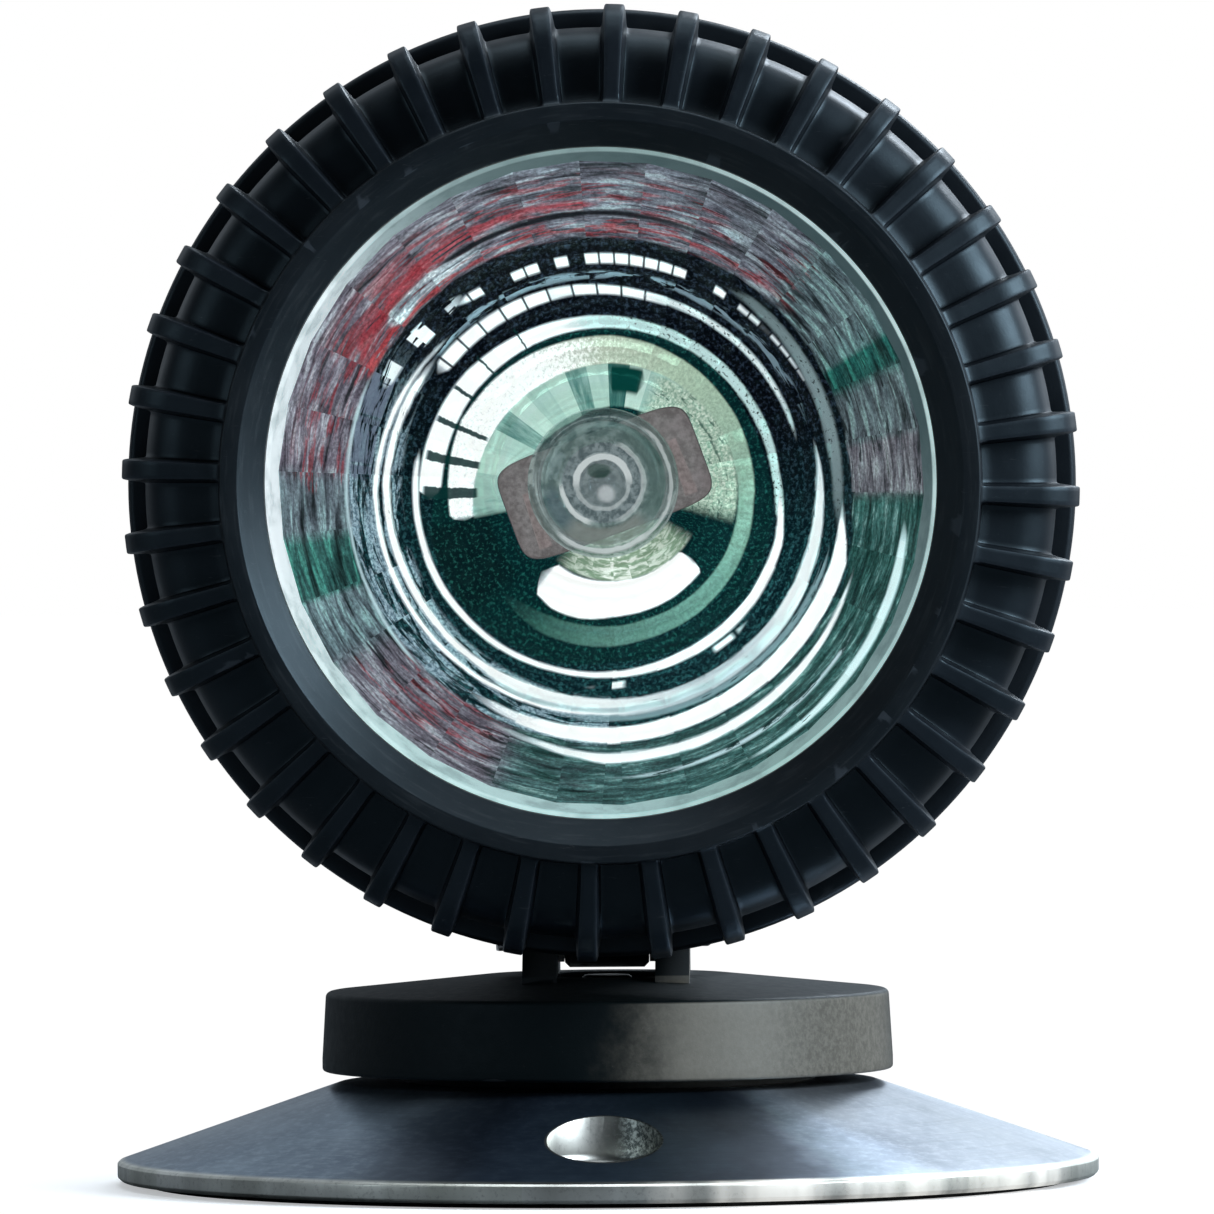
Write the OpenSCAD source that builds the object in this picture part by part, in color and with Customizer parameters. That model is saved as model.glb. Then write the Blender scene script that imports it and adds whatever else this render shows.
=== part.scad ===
// Small outdoor spotlight: a ribbed screw ring and housing round a 50 mm reflector lamp,
// on a tilting yoke, a rotating disc and a cone-shaped metal floor plate.
// Origin: centre of the foot, on the ground. +Z up, the lamp faces -Y.

/* [Floor plate] */
// Outer diameter of the floor plate
plate_d = 72.3; // [70:0.1:76]
// Diameter of the flat on top of the plate
plate_top_d = 39; // [36:0.5:40]
// Height of the plate's flat top above the ground
plate_top_z = 7.5; // [7.3:0.1:7.8]
// Height of the turned rim
rim_h = 1.4; // [1.2:0.1:1.8]
// Number of fixing holes
fix_n = 3; // [3:1:4]
// Pitch circle of the fixing holes
fix_pcd = 56; // [54:0.2:58]
// Diameter of the fixing holes
fix_d = 4.5; // [4:0.1:5]
// Diameter of the counterbore for the screw heads
fix_cb_d = 8.2; // [7.6:0.1:8.6]

/* [Turning disc] */
// Diameter of the disc under the head
disc_d = 42.1; // [41:0.1:42.4]
// Thickness of the disc at its middle
disc_t = 7.0; // [6.8:0.1:7.1]
// Thickness of the friction ring between plate and disc
friction_t = 0.8; // [0.7:0.05:0.9]
// Fall of the disc's top from its middle to its edge
disc_fall = 1.15; // [0.6:0.05:1.3]
// Outside diameter of the friction ring
friction_d = 30.6; // [28:0.2:32]

/* [Yoke] */
// Height of the tilt axis above the ground
pivot_z = 20.6; // [20.4:0.1:20.8]
// Width over both cheeks
yoke_w = 12.2; // [12:0.1:12.6]
// Thickness of one cheek
cheek_t = 2.5; // [2.4:0.05:2.6]

/* [Head] */
// Height of the lamp axis above the ground
axis_z = 51.5; // [51.4:0.1:52]
// Distance of the front face ahead of the tilt axis
front_y = 27.7; // [27.6:0.1:28]
// Diameter over the ribs of the screw ring
rib_d = 69; // [68.6:0.2:69.2]
// Diameter of the bezel face
bezel_d = 54.6; // [54.2:0.2:55]
// Diameter of the clear opening
open_d = 48.2; // [47.6:0.2:48.6]
// Number of grip ribs
rib_n = 40; // [24:1:44]
// Angular width of one rib, in degrees
rib_a = 3.0; // [2.4:0.1:3.6]
// Diameter of the housing flange behind the ring
flange_d = 68.8; // [67.8:0.2:69]

/* [Lamp] */
// Diameter of the lamp's reflector rim
lamp_d = 50.7; // [50:0.1:51]
// Diameter of the quartz capsule
capsule_d = 11; // [10:0.2:11.4]
// Angle of the lamp's pins from the horizontal, in degrees
lamp_angle = 20; // [0:1:30]
// Spacing of the two lamp pins
pin_gap = 5.33; // [5.2:0.01:5.4]

/* [Cable] */
// Diameter of the cable
cable_d = 6.4; // [6:0.1:6.5]
// Free length of cable behind the gland
cable_out = 12; // [8:1:13]

/* [Hidden] */
$fn = 96;

pad_t = 1.0;                       // pad thickness
pad_z = 0.4;                       // ground to the plate's lower edge
plate_r = plate_d / 2;
plate_tr = plate_top_d / 2;
rim_z = pad_z + rim_h;
disc_z = plate_top_z + friction_t; // underside of the disc
disc_top = disc_z + disc_t;
disc_r = disc_d / 2;
yoke_x = yoke_w / 2;
cheek_x = yoke_x - cheek_t;        // inner face of a cheek
lug_x = 3.1;                       // half thickness of the housing's lug
rib_r = rib_d / 2;
bezel_r = bezel_d / 2;
open_r = open_d / 2;
flange_r = flange_d / 2;
lens_h = 4.2;                      // depth of the cover glass behind the front face
lens_t = 3.0;
lens_r = 27.9;
ring_back = 12.0;                  // depth of the ring's rear face
thread_r = 30.0;                   // ring's thread bore
flange_h = 12.3;                   // depth of the flange's front face
lamp_h = 7.7;                      // depth of the lamp's rim
lamp_r = lamp_d / 2;
back_h = 64.5;                     // depth of the housing's rear wall
cable_r = cable_d / 2;
// Inner surface of the reflector: a paraboloid, r = sqrt(k (v - depth))
par_k = 20.8;
par_v = 26.08;

// Points of an arc from angle a0 to a1, as [x, y] pairs
function arc(cx, cy, r, a0, a1, n = 6) = [for (i = [0:n]) let (a = a0 + (a1 - a0) * i / n) [cx + r * cos(a), cy + r * sin(a)]];
// Radius of the reflector's inner surface at a depth behind its rim
function bowl(d) = sqrt(par_k * (par_v - d));

// Head frame: x to the right, z is the depth behind the front face, y points down
module head() { translate([0, -front_y, axis_z]) rotate([-90, 0, 0]) children(); }
// Head frame turned to the lamp's pins
module lamp() { head() rotate([0, 0, -lamp_angle]) children(); }
// Solid of revolution from [radius, depth] points
module turned(points) { rotate_extrude($fn = 144) polygon(points); }
// Ring-shaped spacer
module tube(r_out, r_in, h) { difference() { cylinder(r = r_out, h = h); translate([0, 0, -1]) cylinder(r = r_in, h = h + 2); } }
// Hexagon of a given width across flats
module hexagon(af, h) { cylinder(d = af / cos(30), h = h, $fn = 6); }
// Block with straight sides, centred on x and y
module block(x, y, z0, z1) { translate([-x / 2, -y / 2, z0]) cube([x, y, z1 - z0]); }
// One cylinder between two points
module rod(a, b, r) {
  d = b - a;
  l = norm(d);
  translate(a) rotate([0, acos(d[2] / l), atan2(d[1], d[0])]) cylinder(r = r, h = l, $fn = 24);
}
// A bent rod through a list of points
module bent(points, r) {
  for (i = [0:len(points) - 2]) rod(points[i], points[i + 1], r);
  for (i = [1:len(points) - 2]) translate(points[i]) sphere(r = r * 1.04, $fn = 24);
}
module at_fixings() { for (i = [0:fix_n - 1]) rotate([0, 0, -90 + i * 360 / fix_n]) translate([fix_pcd / 2, 0, 0]) children(); }

// ---------------------------------------------------------------- floor plate
module base_plate() color([0.55, 0.59, 0.64]) difference() {
  turned([[0, pad_z + 0.6], [plate_r - 1.5, pad_z + 0.6], [plate_r - 1.5, pad_z], [plate_r - 0.25, pad_z], [plate_r, pad_z + 0.25],
    [plate_r, rim_z - 0.15], [plate_r - 0.2, rim_z], [plate_tr + 0.3, plate_top_z - 0.02], [plate_tr - 0.3, plate_top_z], [0, plate_top_z]]);
  // counterbored and countersunk fixing holes
  at_fixings() {
    translate([0, 0, -1]) cylinder(d = fix_d, h = 12);
    translate([0, 0, 2.8]) cylinder(d = fix_cb_d, h = 10);
    translate([0, 0, 1.55]) cylinder(r1 = fix_d / 2, r2 = fix_cb_d / 2, h = 1.25);
  }
  // centre hole and countersink for the pan bolt
  translate([0, 0, -1]) cylinder(r = 2.06, h = 12);
  translate([0, 0, 0.9]) cylinder(r1 = 4.5, r2 = 2.06, h = 2.44);
}
module foot_pad() color([0.05, 0.05, 0.055]) difference() {
  cylinder(r = plate_r - 1.9, h = pad_t);
  at_fixings() translate([0, 0, -1]) cylinder(d = fix_d + 0.7, h = 4);
}
module friction_ring() color([0.06, 0.06, 0.06]) translate([0, 0, plate_top_z]) tube(friction_d / 2, 8, friction_t);
module pan_bolt() color([0.7, 0.7, 0.72]) difference() {
  union() {
    translate([0, 0, 1.05]) cylinder(r1 = 4.2, r2 = 2, h = 2.2);
    translate([0, 0, 3.2]) cylinder(r = 2, h = disc_top - 0.05 - 3.2);
  }
  translate([0, 0, 0.5]) hexagon(2.5, 2.1);
}
module pan_washer() color([0.7, 0.7, 0.72]) translate([0, 0, disc_z + 1.9]) tube(4.5, 2.1, 0.8);
module pan_nut() color([0.7, 0.7, 0.72]) translate([0, 0, disc_z + 2.7]) difference() {
  hexagon(7, 3.1);
  translate([0, 0, -1]) cylinder(r = 2.02, h = 6);
}

// ---------------------------------------------------------------- turning disc and yoke
module cheek() rotate([90, 0, 90]) {
  linear_extrude(cheek_t) polygon([[-10.5, disc_top - 1], [10.5, disc_top - 1], [10.5, disc_top + 0.2], [4.7, pivot_z + 0.9], [-4.7, pivot_z + 0.9], [-10.5, disc_top + 0.2]]);
  translate([0, pivot_z, 0]) cylinder(r = 5, h = cheek_t);
}
module turning_disc() color([0.09, 0.09, 0.095]) difference() {
  union() {
    turned(concat([[0, disc_z], [disc_r - 0.2, disc_z], [disc_r, disc_z + 0.2]], arc(disc_r - 0.75, disc_top - disc_fall - 0.45, 0.45, 0, 75), [[9, disc_top], [0, disc_top]]));
    translate([cheek_x, 0, 0]) cheek();
    translate([-yoke_x, 0, 0]) cheek();
  }
  // pan bolt hole and the well for its nut
  translate([0, 0, disc_z - 1]) cylinder(r = 2.06, h = 4);
  translate([0, 0, disc_z + 1.9]) cylinder(r = 6, h = disc_t - 1.9);
  // tilt bolt hole and the pocket for its nut
  translate([-10, 0, pivot_z]) rotate([0, 90, 0]) cylinder(r = 2.05, h = 20);
  translate([-yoke_x - 1, 0, pivot_z]) rotate([0, 90, 0]) rotate([0, 0, 30]) hexagon(7.1, 2.2);
}
module tilt_bolt() color([0.7, 0.7, 0.72]) translate([0, 0, pivot_z]) rotate([0, 90, 0]) difference() {
  union() {
    translate([0, 0, -9.2]) cylinder(r = 2, h = 9.2 + yoke_x);
    translate([0, 0, yoke_x]) cylinder(r = 3.3, h = 1.6);
    translate([0, 0, yoke_x + 1.6]) cylinder(r1 = 3.3, r2 = 2.6, h = 0.6);
  }
  translate([0, 0, yoke_x + 0.6]) hexagon(2.5, 3);
}
module tilt_nut() color([0.7, 0.7, 0.72]) translate([-yoke_x + 1.15, 0, pivot_z]) rotate([0, -90, 0]) rotate([0, 0, 30]) difference() {
  hexagon(7, 3.2);
  translate([0, 0, -1]) cylinder(r = 2.02, h = 6);
}
module tilt_washers() color([0.85, 0.84, 0.8]) for (s = [-1, 1]) translate([s * (lug_x + cheek_x) / 2, 0, pivot_z]) rotate([0, 90, 0]) translate([0, 0, -0.2]) tube(4.4, 2.06, 0.4);

// ---------------------------------------------------------------- housing
module lug() rotate([90, 0, 90]) translate([0, 0, -lug_x]) {
  linear_extrude(2 * lug_x) polygon([[-4.4, pivot_z + 0.9], [4.4, pivot_z + 0.9], [9, 31], [-8, 30]]);
  translate([0, pivot_z, 0]) cylinder(r = 4.8, h = 2 * lug_x);
}
module housing() color([0.06, 0.065, 0.075]) difference() {
  union() {
    head() turned(concat([[0, 20], [20, 20], [20, 7.8], [29.92, 7.8], [29.92, flange_h], [flange_r - 0.2, flange_h], [flange_r, flange_h + 0.2],
      [flange_r, flange_h + 2.8], [flange_r - 0.3, flange_h + 3.1], [28.6, flange_h + 3.1], [27.4, 16.6], [24.2, 28], [21, 48]], arc(15.4, 61.5, 3, 14, 90, 5), [[0, back_h]]));
    lug();
    // raised pad round the cable gland
    head() translate([0, 0, back_h - 1]) cylinder(r = 10.5, h = 1.8);
  }
  head() {
    // lamp chamber
    turned([[-0, 0], [25.75, 0], [25.75, 11.5], [24, 11.5], [24, 16], [21.8, 27.6], [18.6, 47.6], [16.8, 59.5], [15, 62], [0, 62]]);
    // groove for the sealing ring
    translate([0, 0, flange_h - 1]) tube(32.3, 30.3, 2.4);
    // gland hole
    translate([0, 0, 50]) cylinder(r = 6.05, h = 30);
  }
  // tilt bolt hole
  translate([-10, 0, pivot_z]) rotate([0, 90, 0]) cylinder(r = 2.06, h = 20);
}
// The two posts that carry the holder bracket are part of the housing
module posts() lamp() for (s = [-1, 1]) translate([s * 12.6, 0, 56.8]) difference() {
  cylinder(r = 2.8, h = 6.2);
  translate([0, 0, -1]) cylinder(r = 1.25, h = 5.2);
}
module housing_all() { color([0.06, 0.065, 0.075]) union() { housing(); posts(); } }
module housing_o_ring() color([0.03, 0.03, 0.03]) head() rotate_extrude($fn = 144) translate([31.3, flange_h + 0.45]) circle(r = 0.75, $fn = 32);
module glass_gasket() color([0.75, 0.75, 0.72]) head() translate([0, 0, lens_h + lens_t]) tube(27.9, 25.95, 0.6);

// ---------------------------------------------------------------- screw ring and cover glass
module rib() rotate([0, 0, -rib_a / 2]) rotate_extrude(angle = rib_a, $fn = 144)
  polygon(concat([[bezel_r - 0.7, 3.4], [bezel_r - 0.7, 0.5]], [[rib_r - 2.6, 1.85]], arc(rib_r - 2.6, 4.45, 2.6, -70, 0, 4), [[rib_r, 11.3], [rib_r - 0.4, 11.8], [31.4, 11.8], [31.4, 6.6], [29, 4.6]]));
module screw_ring() color([0.07, 0.075, 0.085]) head() union() {
  turned(concat([[open_r + 1.9, 0], [bezel_r - 0.25, 0], [bezel_r, 0.25], [bezel_r, 2.7], [30.4, 3.3]], arc(rib_r - 4.5, 6.1, 2.8, -72, 0, 5),
    [[rib_r - 1.65, ring_back - 0.25], [rib_r - 1.9, ring_back], [thread_r, ring_back], [thread_r, 7.4], [28.1, 7.4], [28.1, lens_h], [open_r, lens_h], [open_r, 1.9]]));
  for (i = [0:rib_n - 1]) rotate([0, 0, (i + 0.22) * 360 / rib_n - 90]) rib();
}
module cover_glass() color([0.8, 0.95, 0.92, 0.3]) head() turned([[0, lens_h], [lens_r - 0.3, lens_h], [lens_r, lens_h + 0.3], [lens_r, lens_h + lens_t - 0.3], [lens_r - 0.3, lens_h + lens_t], [0, lens_h + lens_t]]);

// ---------------------------------------------------------------- lamp
module lamp_reflector() color([0.6, 0.75, 0.72]) lamp() translate([0, 0, lamp_h]) difference() {
  union() {
    turned(concat([for (i = [0:10]) [bowl(i * 2.3), i * 2.3]], [[0, 23], [0, 26.5], [9.6, 26.5]], [for (i = [9:-1:1]) [bowl(i * 2.5) + 1.7 + i * 0.05, i * 2.5 + 0.6]], [[lamp_r - 0.9, 2.2], [lamp_r, 1.9], [lamp_r, 0.3], [lamp_r - 0.3, 0]]));
    block(17, 12, 24, 38);
  }
  block(15, 7.6, 20, 40);
}
module lamp_cement() color([0.62, 0.58, 0.56]) lamp() translate([0, 0, lamp_h]) difference() {
  block(15, 7.6, 24.2, 37.6);
  block(11.6, 3.1, 23, 35.6);
  for (s = [-1, 1]) translate([s * pin_gap / 2, 0, 30]) cylinder(r = 0.79, h = 10);
}
module lamp_capsule() color([0.9, 0.95, 0.95, 0.35]) lamp() translate([0, 0, lamp_h]) {
  cr = capsule_d / 2;
  difference() {
    union() {
      turned(concat([[0, 5.0], [0.7, 5.1], [1.15, 5.8], [1.35, 7.0], [2.2, 7.5]], arc(cr - 2.6, 10.4, 2.6, -70, 0, 5), [[cr, 20.2], [cr - 0.8, 22.0], [3.0, 23.1], [2.4, 24.1], [0, 24.1]]));
      block(11.2, 2.8, 23.4, 35.4);
    }
    turned(concat([[0, 8.2], [1.6, 8.4]], arc(cr - 2.9, 10.6, 2.0, -70, 0, 5), [[cr - 0.9, 19.8], [cr - 1.7, 21.2], [2.4, 22.4], [0, 22.4]]));
  }
}
module lamp_filament() color([0.75, 0.72, 0.68]) lamp() translate([0, 0, lamp_h]) {
  translate([-2.2, 0, 14]) rotate([0, 90, 0]) cylinder(r = 0.6, h = 4.4, $fn = 24);
  for (s = [-1, 1]) {
    rod([s * 2.0, 0, 14], [s * 2.0, 0, 22.1], 0.22);
    translate([s * 2.0, 0, 14]) sphere(r = 0.22, $fn = 24);
  }
}
module lamp_pins() color([0.78, 0.76, 0.7]) lamp() for (s = [-1, 1]) translate([s * pin_gap / 2, 0, lamp_h + 35.6]) {
  cylinder(r = 0.79, h = 8.9, $fn = 32);
  translate([0, 0, 8.9]) cylinder(r1 = 0.79, r2 = 0.4, h = 0.5, $fn = 32);
}
module rim_cushion() color([0.8, 0.8, 0.78]) head() translate([0, 0, lamp_h + 2.25]) tube(25.6, 24.5, 1.5);

// ---------------------------------------------------------------- lamp holder
module lamp_holder() color([0.88, 0.86, 0.8]) lamp() difference() {
  translate([0, 0, 0]) block(19.6, 11, 45.9, 55.4);
  for (s = [-1, 1]) translate([s * pin_gap / 2, 0, 0]) {
    translate([0, 0, 44]) cylinder(r = 1.0, h = 8.8);
    translate([0, 0, 46.7]) cylinder(r = 1.5, h = 6.1);
    translate([0, 0, 49.6]) rotate([-90, 0, 0]) cylinder(r = 1.25, h = 8, $fn = 32);
    translate([0, 4.4, 52.4]) cylinder(r = 0.88, h = 5, $fn = 32);
  }
  translate([0, 0, 53.2]) cylinder(r = 1.25, h = 5, $fn = 32);
}
module holder_contacts() color([0.8, 0.62, 0.3]) lamp() for (s = [-1, 1]) translate([s * pin_gap / 2, 0, 46.8]) tube(1.45, 0.84, 5.8);
module terminal_screws() color([0.75, 0.62, 0.35]) lamp() for (s = [-1, 1]) translate([s * pin_gap / 2, 1.55, 49.6]) rotate([-90, 0, 0]) {
  cylinder(r = 1.2, h = 3.95, $fn = 32);
}
module holder_bracket() color([0.7, 0.72, 0.74]) lamp() difference() {
  block(31, 6, 55.5, 56.7);
  for (s = [-1, 1]) translate([s * 12.6, 0, 50]) cylinder(r = 1.35, h = 10, $fn = 32);
  translate([0, 0, 50]) cylinder(r = 1.35, h = 10, $fn = 32);
}
module bracket_screws() color([0.7, 0.7, 0.72]) lamp() for (s = [-1, 1]) translate([s * 12.6, 0, 53.9]) difference() {
  union() {
    cylinder(r = 2.3, h = 1.6, $fn = 48);
    cylinder(r = 1.24, h = 6.2, $fn = 32);
  }
  translate([-2.5, -0.25, -0.1]) cube([5, 0.5, 0.8]);
}
module holder_screw() color([0.7, 0.7, 0.72]) lamp() translate([0, 0, 53.4]) difference() {
  union() {
    cylinder(r = 1.24, h = 3.5, $fn = 32);
    translate([0, 0, 3.35]) cylinder(r = 2, h = 1.1, $fn = 48);
  }
  translate([-2.5, -0.25, 3.85]) cube([5, 0.5, 0.8]);
}
module lead_wires() color([0.6, 0.12, 0.1]) lamp() for (s = [-1, 1])
  bent([[s * pin_gap / 2, 4.4, 52.6], [s * pin_gap / 2, 4.4, 57.3], [s * 1.3, 1.0, 59.2], [s * 1.3, 0, 61], [s * 1.3, 0, 64.3]], 0.84);

// ---------------------------------------------------------------- cable gland and cable
module gland_body() color([0.08, 0.08, 0.085]) head() difference() {
  union() {
    translate([0, 0, 59.4]) cylinder(r = 5.98, h = 8);
    translate([0, 0, 66.1]) rotate([0, 0, 30]) hexagon(15, 3.2);
    translate([0, 0, 69]) cylinder(r = 6.2, h = 6);
  }
  translate([0, 0, 50]) cylinder(r = cable_r + 0.05, h = 40);
  translate([0, 0, 70.5]) cylinder(r = 4.75, h = 10);
}
module gland_washer() color([0.03, 0.03, 0.03]) head() translate([0, 0, back_h + 0.8]) tube(8.2, 6.05, 0.75);
module gland_locknut() color([0.1, 0.1, 0.1]) head() translate([0, 0, 59.6]) difference() {
  hexagon(15, 2.35);
  translate([0, 0, -1]) cylinder(r = 6.0, h = 5);
}
module gland_seal() color([0.15, 0.15, 0.15]) head() translate([0, 0, 70.6]) tube(4.7, cable_r + 0.02, 4.9);
module gland_nut() color([0.08, 0.08, 0.085]) head() difference() {
  intersection() {
    translate([0, 0, 69.8]) rotate([0, 0, 30]) hexagon(15, 8);
    turned(concat([[0, 69.7], [8.9, 69.7]], arc(5.9, 74.8, 3, 0, 90, 5), [[0, 77.8]]));
  }
  translate([0, 0, 60]) cylinder(r = 6.25, h = 15.6);
  translate([0, 0, 60]) cylinder(r = cable_r + 0.12, h = 30);
}
module cable_jacket() color([0.05, 0.05, 0.055]) head() difference() {
  translate([0, 0, 64.4]) cylinder(r = cable_r, h = 13.4 + cable_out);
  for (s = [-1, 1]) rotate([0, 0, -lamp_angle]) translate([s * 1.3, 0, 60]) cylinder(r = 1.05, h = 60, $fn = 32);
}
module cable_cores() color([0.6, 0.12, 0.1]) lamp() for (s = [-1, 1]) translate([s * 1.3, 0, 64.4]) cylinder(r = 1.0, h = 13.4 + cable_out + 0.6, $fn = 32);

base_plate();
foot_pad();
friction_ring();
pan_bolt();
pan_washer();
pan_nut();
turning_disc();
tilt_bolt();
tilt_nut();
tilt_washers();
housing_all();  // housing
housing_o_ring();
glass_gasket();
cover_glass();
screw_ring();
lamp_reflector();
lamp_capsule();
lamp_filament();
lamp_cement();
lamp_pins();
rim_cushion();
lamp_holder();
holder_contacts();
terminal_screws();
holder_bracket();
bracket_screws();
holder_screw();
lead_wires();
gland_body();
gland_washer();
gland_locknut();
gland_seal();
gland_nut();
cable_jacket();
cable_cores();
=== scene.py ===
import math

import bmesh
import bpy
import numpy as np
from mathutils import Matrix, Vector


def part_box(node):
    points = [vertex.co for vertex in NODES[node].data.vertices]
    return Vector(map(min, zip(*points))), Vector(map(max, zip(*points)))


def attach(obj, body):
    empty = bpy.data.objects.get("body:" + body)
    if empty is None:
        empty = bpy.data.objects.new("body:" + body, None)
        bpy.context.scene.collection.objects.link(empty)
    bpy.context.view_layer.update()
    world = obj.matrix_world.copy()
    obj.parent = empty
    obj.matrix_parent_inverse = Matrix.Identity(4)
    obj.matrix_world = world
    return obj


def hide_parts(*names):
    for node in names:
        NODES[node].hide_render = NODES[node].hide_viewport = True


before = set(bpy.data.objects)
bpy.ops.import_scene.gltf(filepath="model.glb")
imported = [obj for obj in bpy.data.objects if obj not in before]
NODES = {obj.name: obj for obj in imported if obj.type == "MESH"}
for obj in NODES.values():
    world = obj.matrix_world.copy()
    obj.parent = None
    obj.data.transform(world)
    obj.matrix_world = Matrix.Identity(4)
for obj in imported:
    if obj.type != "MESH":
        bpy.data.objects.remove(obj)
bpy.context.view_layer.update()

MM = 0.001
_lo, _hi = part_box("housing_o_ring")
AX = (_lo.z + _hi.z) / 2          # height of the lamp axis
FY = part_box("screw_ring")[0].y    # front face of the bezel
_plo, _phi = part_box("base_plate")
PLATE_R = (_phi.x - _plo.x) / 2 / MM
PLATE_TOP = _phi.z / MM
_dlo, _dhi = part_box("turning_disc")
DISC_R = (_dhi.x - _dlo.x) / 2 / MM
DISC_Z = _dlo.z / MM
DISC_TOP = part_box("pan_bolt")[1].z / MM + 0.05
_blo, _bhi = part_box("tilt_washers")
PIV = (_blo.z + _bhi.z) / 2 / MM
LAMP_A = math.radians(20)

# ------------------------------------------------------------------ mesh tools


def head_at(r, h, a):
    """r mm from the lamp axis, h mm behind the front face, a clockwise from the top seen from the front."""
    return (r * math.sin(a) * MM, FY + h * MM, AX + r * math.cos(a) * MM)


def up_at(r, z, a):
    """r mm from the vertical axis, z mm above the ground."""
    return (r * math.cos(a) * MM, r * math.sin(a) * MM, z * MM)


def fillet(pts, seg=4, closed=True):
    """Rounds each corner of a profile; a corner is (u, v) or (u, v, radius)."""
    out = []
    n = len(pts)
    for i, p in enumerate(pts):
        P = np.array(p[:2], float)
        f = p[2] if len(p) > 2 else 0.0
        if f <= 0 or (not closed and i in (0, n - 1)):
            out.append(tuple(P))
            continue
        u = np.array(pts[(i - 1) % n][:2], float) - P
        v = np.array(pts[(i + 1) % n][:2], float) - P
        lu, lv = np.linalg.norm(u), np.linalg.norm(v)
        u, v = u / lu, v / lv
        th = math.acos(float(np.clip(u @ v, -1, 1)))
        if th > math.pi - 0.04:
            out.append(tuple(P))
            continue
        d = min(f / math.tan(th / 2), 0.48 * lu, 0.48 * lv)
        r = d * math.tan(th / 2)
        b = (u + v) / np.linalg.norm(u + v)
        C = P + b * (r / math.sin(th / 2))
        s, e = P + u * d - C, P + v * d - C
        a0 = math.atan2(s[1], s[0])
        da = (math.atan2(e[1], e[0]) - a0 + math.pi) % (2 * math.pi) - math.pi
        for k in range(seg + 1):
            t = a0 + da * k / seg
            out.append((C[0] + r * math.cos(t), C[1] + r * math.sin(t)))
    return out


def dense(pts, step, closed=True):
    """Adds points along a profile so that no stretch is longer than step."""
    out = []
    n = len(pts)
    for i in range(n if closed else n - 1):
        a, b = np.array(pts[i], float), np.array(pts[(i + 1) % n], float)
        k = max(1, int(math.ceil(np.linalg.norm(b - a) / step)))
        for j in range(k):
            out.append(tuple(a + (b - a) * j / k))
    if not closed:
        out.append(tuple(pts[-1]))
    return out


def resample(pts, n):
    """n points evenly along an open polyline, both ends kept."""
    P = np.array(pts, float)
    s = np.concatenate([[0], np.cumsum(np.linalg.norm(np.diff(P, axis=0), axis=1))])
    t = np.linspace(0, s[-1], n)
    return [(float(np.interp(x, s, P[:, 0])), float(np.interp(x, s, P[:, 1]))) for x in t]


def mesh_obj(name, verts, faces, sharp=32.0, flat=False):
    me = bpy.data.meshes.new(name)
    me.from_pydata([tuple(v) for v in verts], [], faces)
    bm = bmesh.new()
    bm.from_mesh(me)
    bmesh.ops.recalc_face_normals(bm, faces=bm.faces)
    bm.to_mesh(me)
    bm.free()
    me.update()
    ob = bpy.data.objects.new(name, me)
    bpy.context.scene.collection.objects.link(ob)
    if not flat:
        me.polygons.foreach_set("use_smooth", [True] * len(me.polygons))
        me.set_sharp_from_angle(angle=math.radians(sharp))
    return ob


def lathe(name, prof, seg=192, place=head_at, closed=True, sharp=32.0):
    """A solid of revolution. A closed profile makes a ring; an open one starts and ends on the axis."""
    V, F = [], []
    n = len(prof)
    cols = []
    for i, (r, h) in enumerate(prof):
        if not closed and i in (0, n - 1):
            V.append(place(0.0, h, 0.0))
            cols.append([len(V) - 1] * seg)
        else:
            s = len(V)
            for j in range(seg):
                V.append(place(r, h, 2 * math.pi * j / seg))
            cols.append(list(range(s, s + seg)))
    for i in range(n if closed else n - 1):
        A, B = cols[i], cols[(i + 1) % n]
        for j in range(seg):
            k = (j + 1) % seg
            q = []
            for v in (A[j], A[k], B[k], B[j]):
                if v not in q:
                    q.append(v)
            if len(q) > 2:
                F.append(q)
    return mesh_obj(name, V, F, sharp)


def grid_ring(name, P, sharp=32.0, flat=False):
    """Closed both ways: P[i][j] is a world point, i round the profile, j round the axis."""
    n, m = len(P), len(P[0])
    V = [p for row in P for p in row]
    F = []
    for i in range(n):
        for j in range(m):
            a, b = (i + 1) % n, (j + 1) % m
            F.append((i * m + j, i * m + b, a * m + b, a * m + j))
    return mesh_obj(name, V, F, sharp, flat)


def prism(name, outline, lo, hi, axis="z", chamfer=0.0, sharp=30.0):
    """A straight prism from a convex outline (mm). axis z: outline is x, y; axis x: outline is y, z."""
    layers = [(lo, chamfer), (lo + chamfer, 0.0), (hi - chamfer, 0.0), (hi, chamfer)] if chamfer > 0 else [(lo, 0.0), (hi, 0.0)]
    c = np.mean(np.array(outline), axis=0)
    V, F = [], []
    n = len(outline)
    for lev, inset in layers:
        for p in outline:
            d = np.array(p) - c
            L = np.linalg.norm(d)
            q = c + d * (1 - inset / L)
            V.append((q[0] * MM, q[1] * MM, lev * MM) if axis == "z" else (lev * MM, q[0] * MM, q[1] * MM))
    for k in range(len(layers) - 1):
        for j in range(n):
            b = (j + 1) % n
            F.append((k * n + j, k * n + b, (k + 1) * n + b, (k + 1) * n + j))
    F.append(tuple(range(n))[::-1])
    F.append(tuple(range((len(layers) - 1) * n, len(layers) * n)))
    return mesh_obj(name, V, F, sharp)


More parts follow.
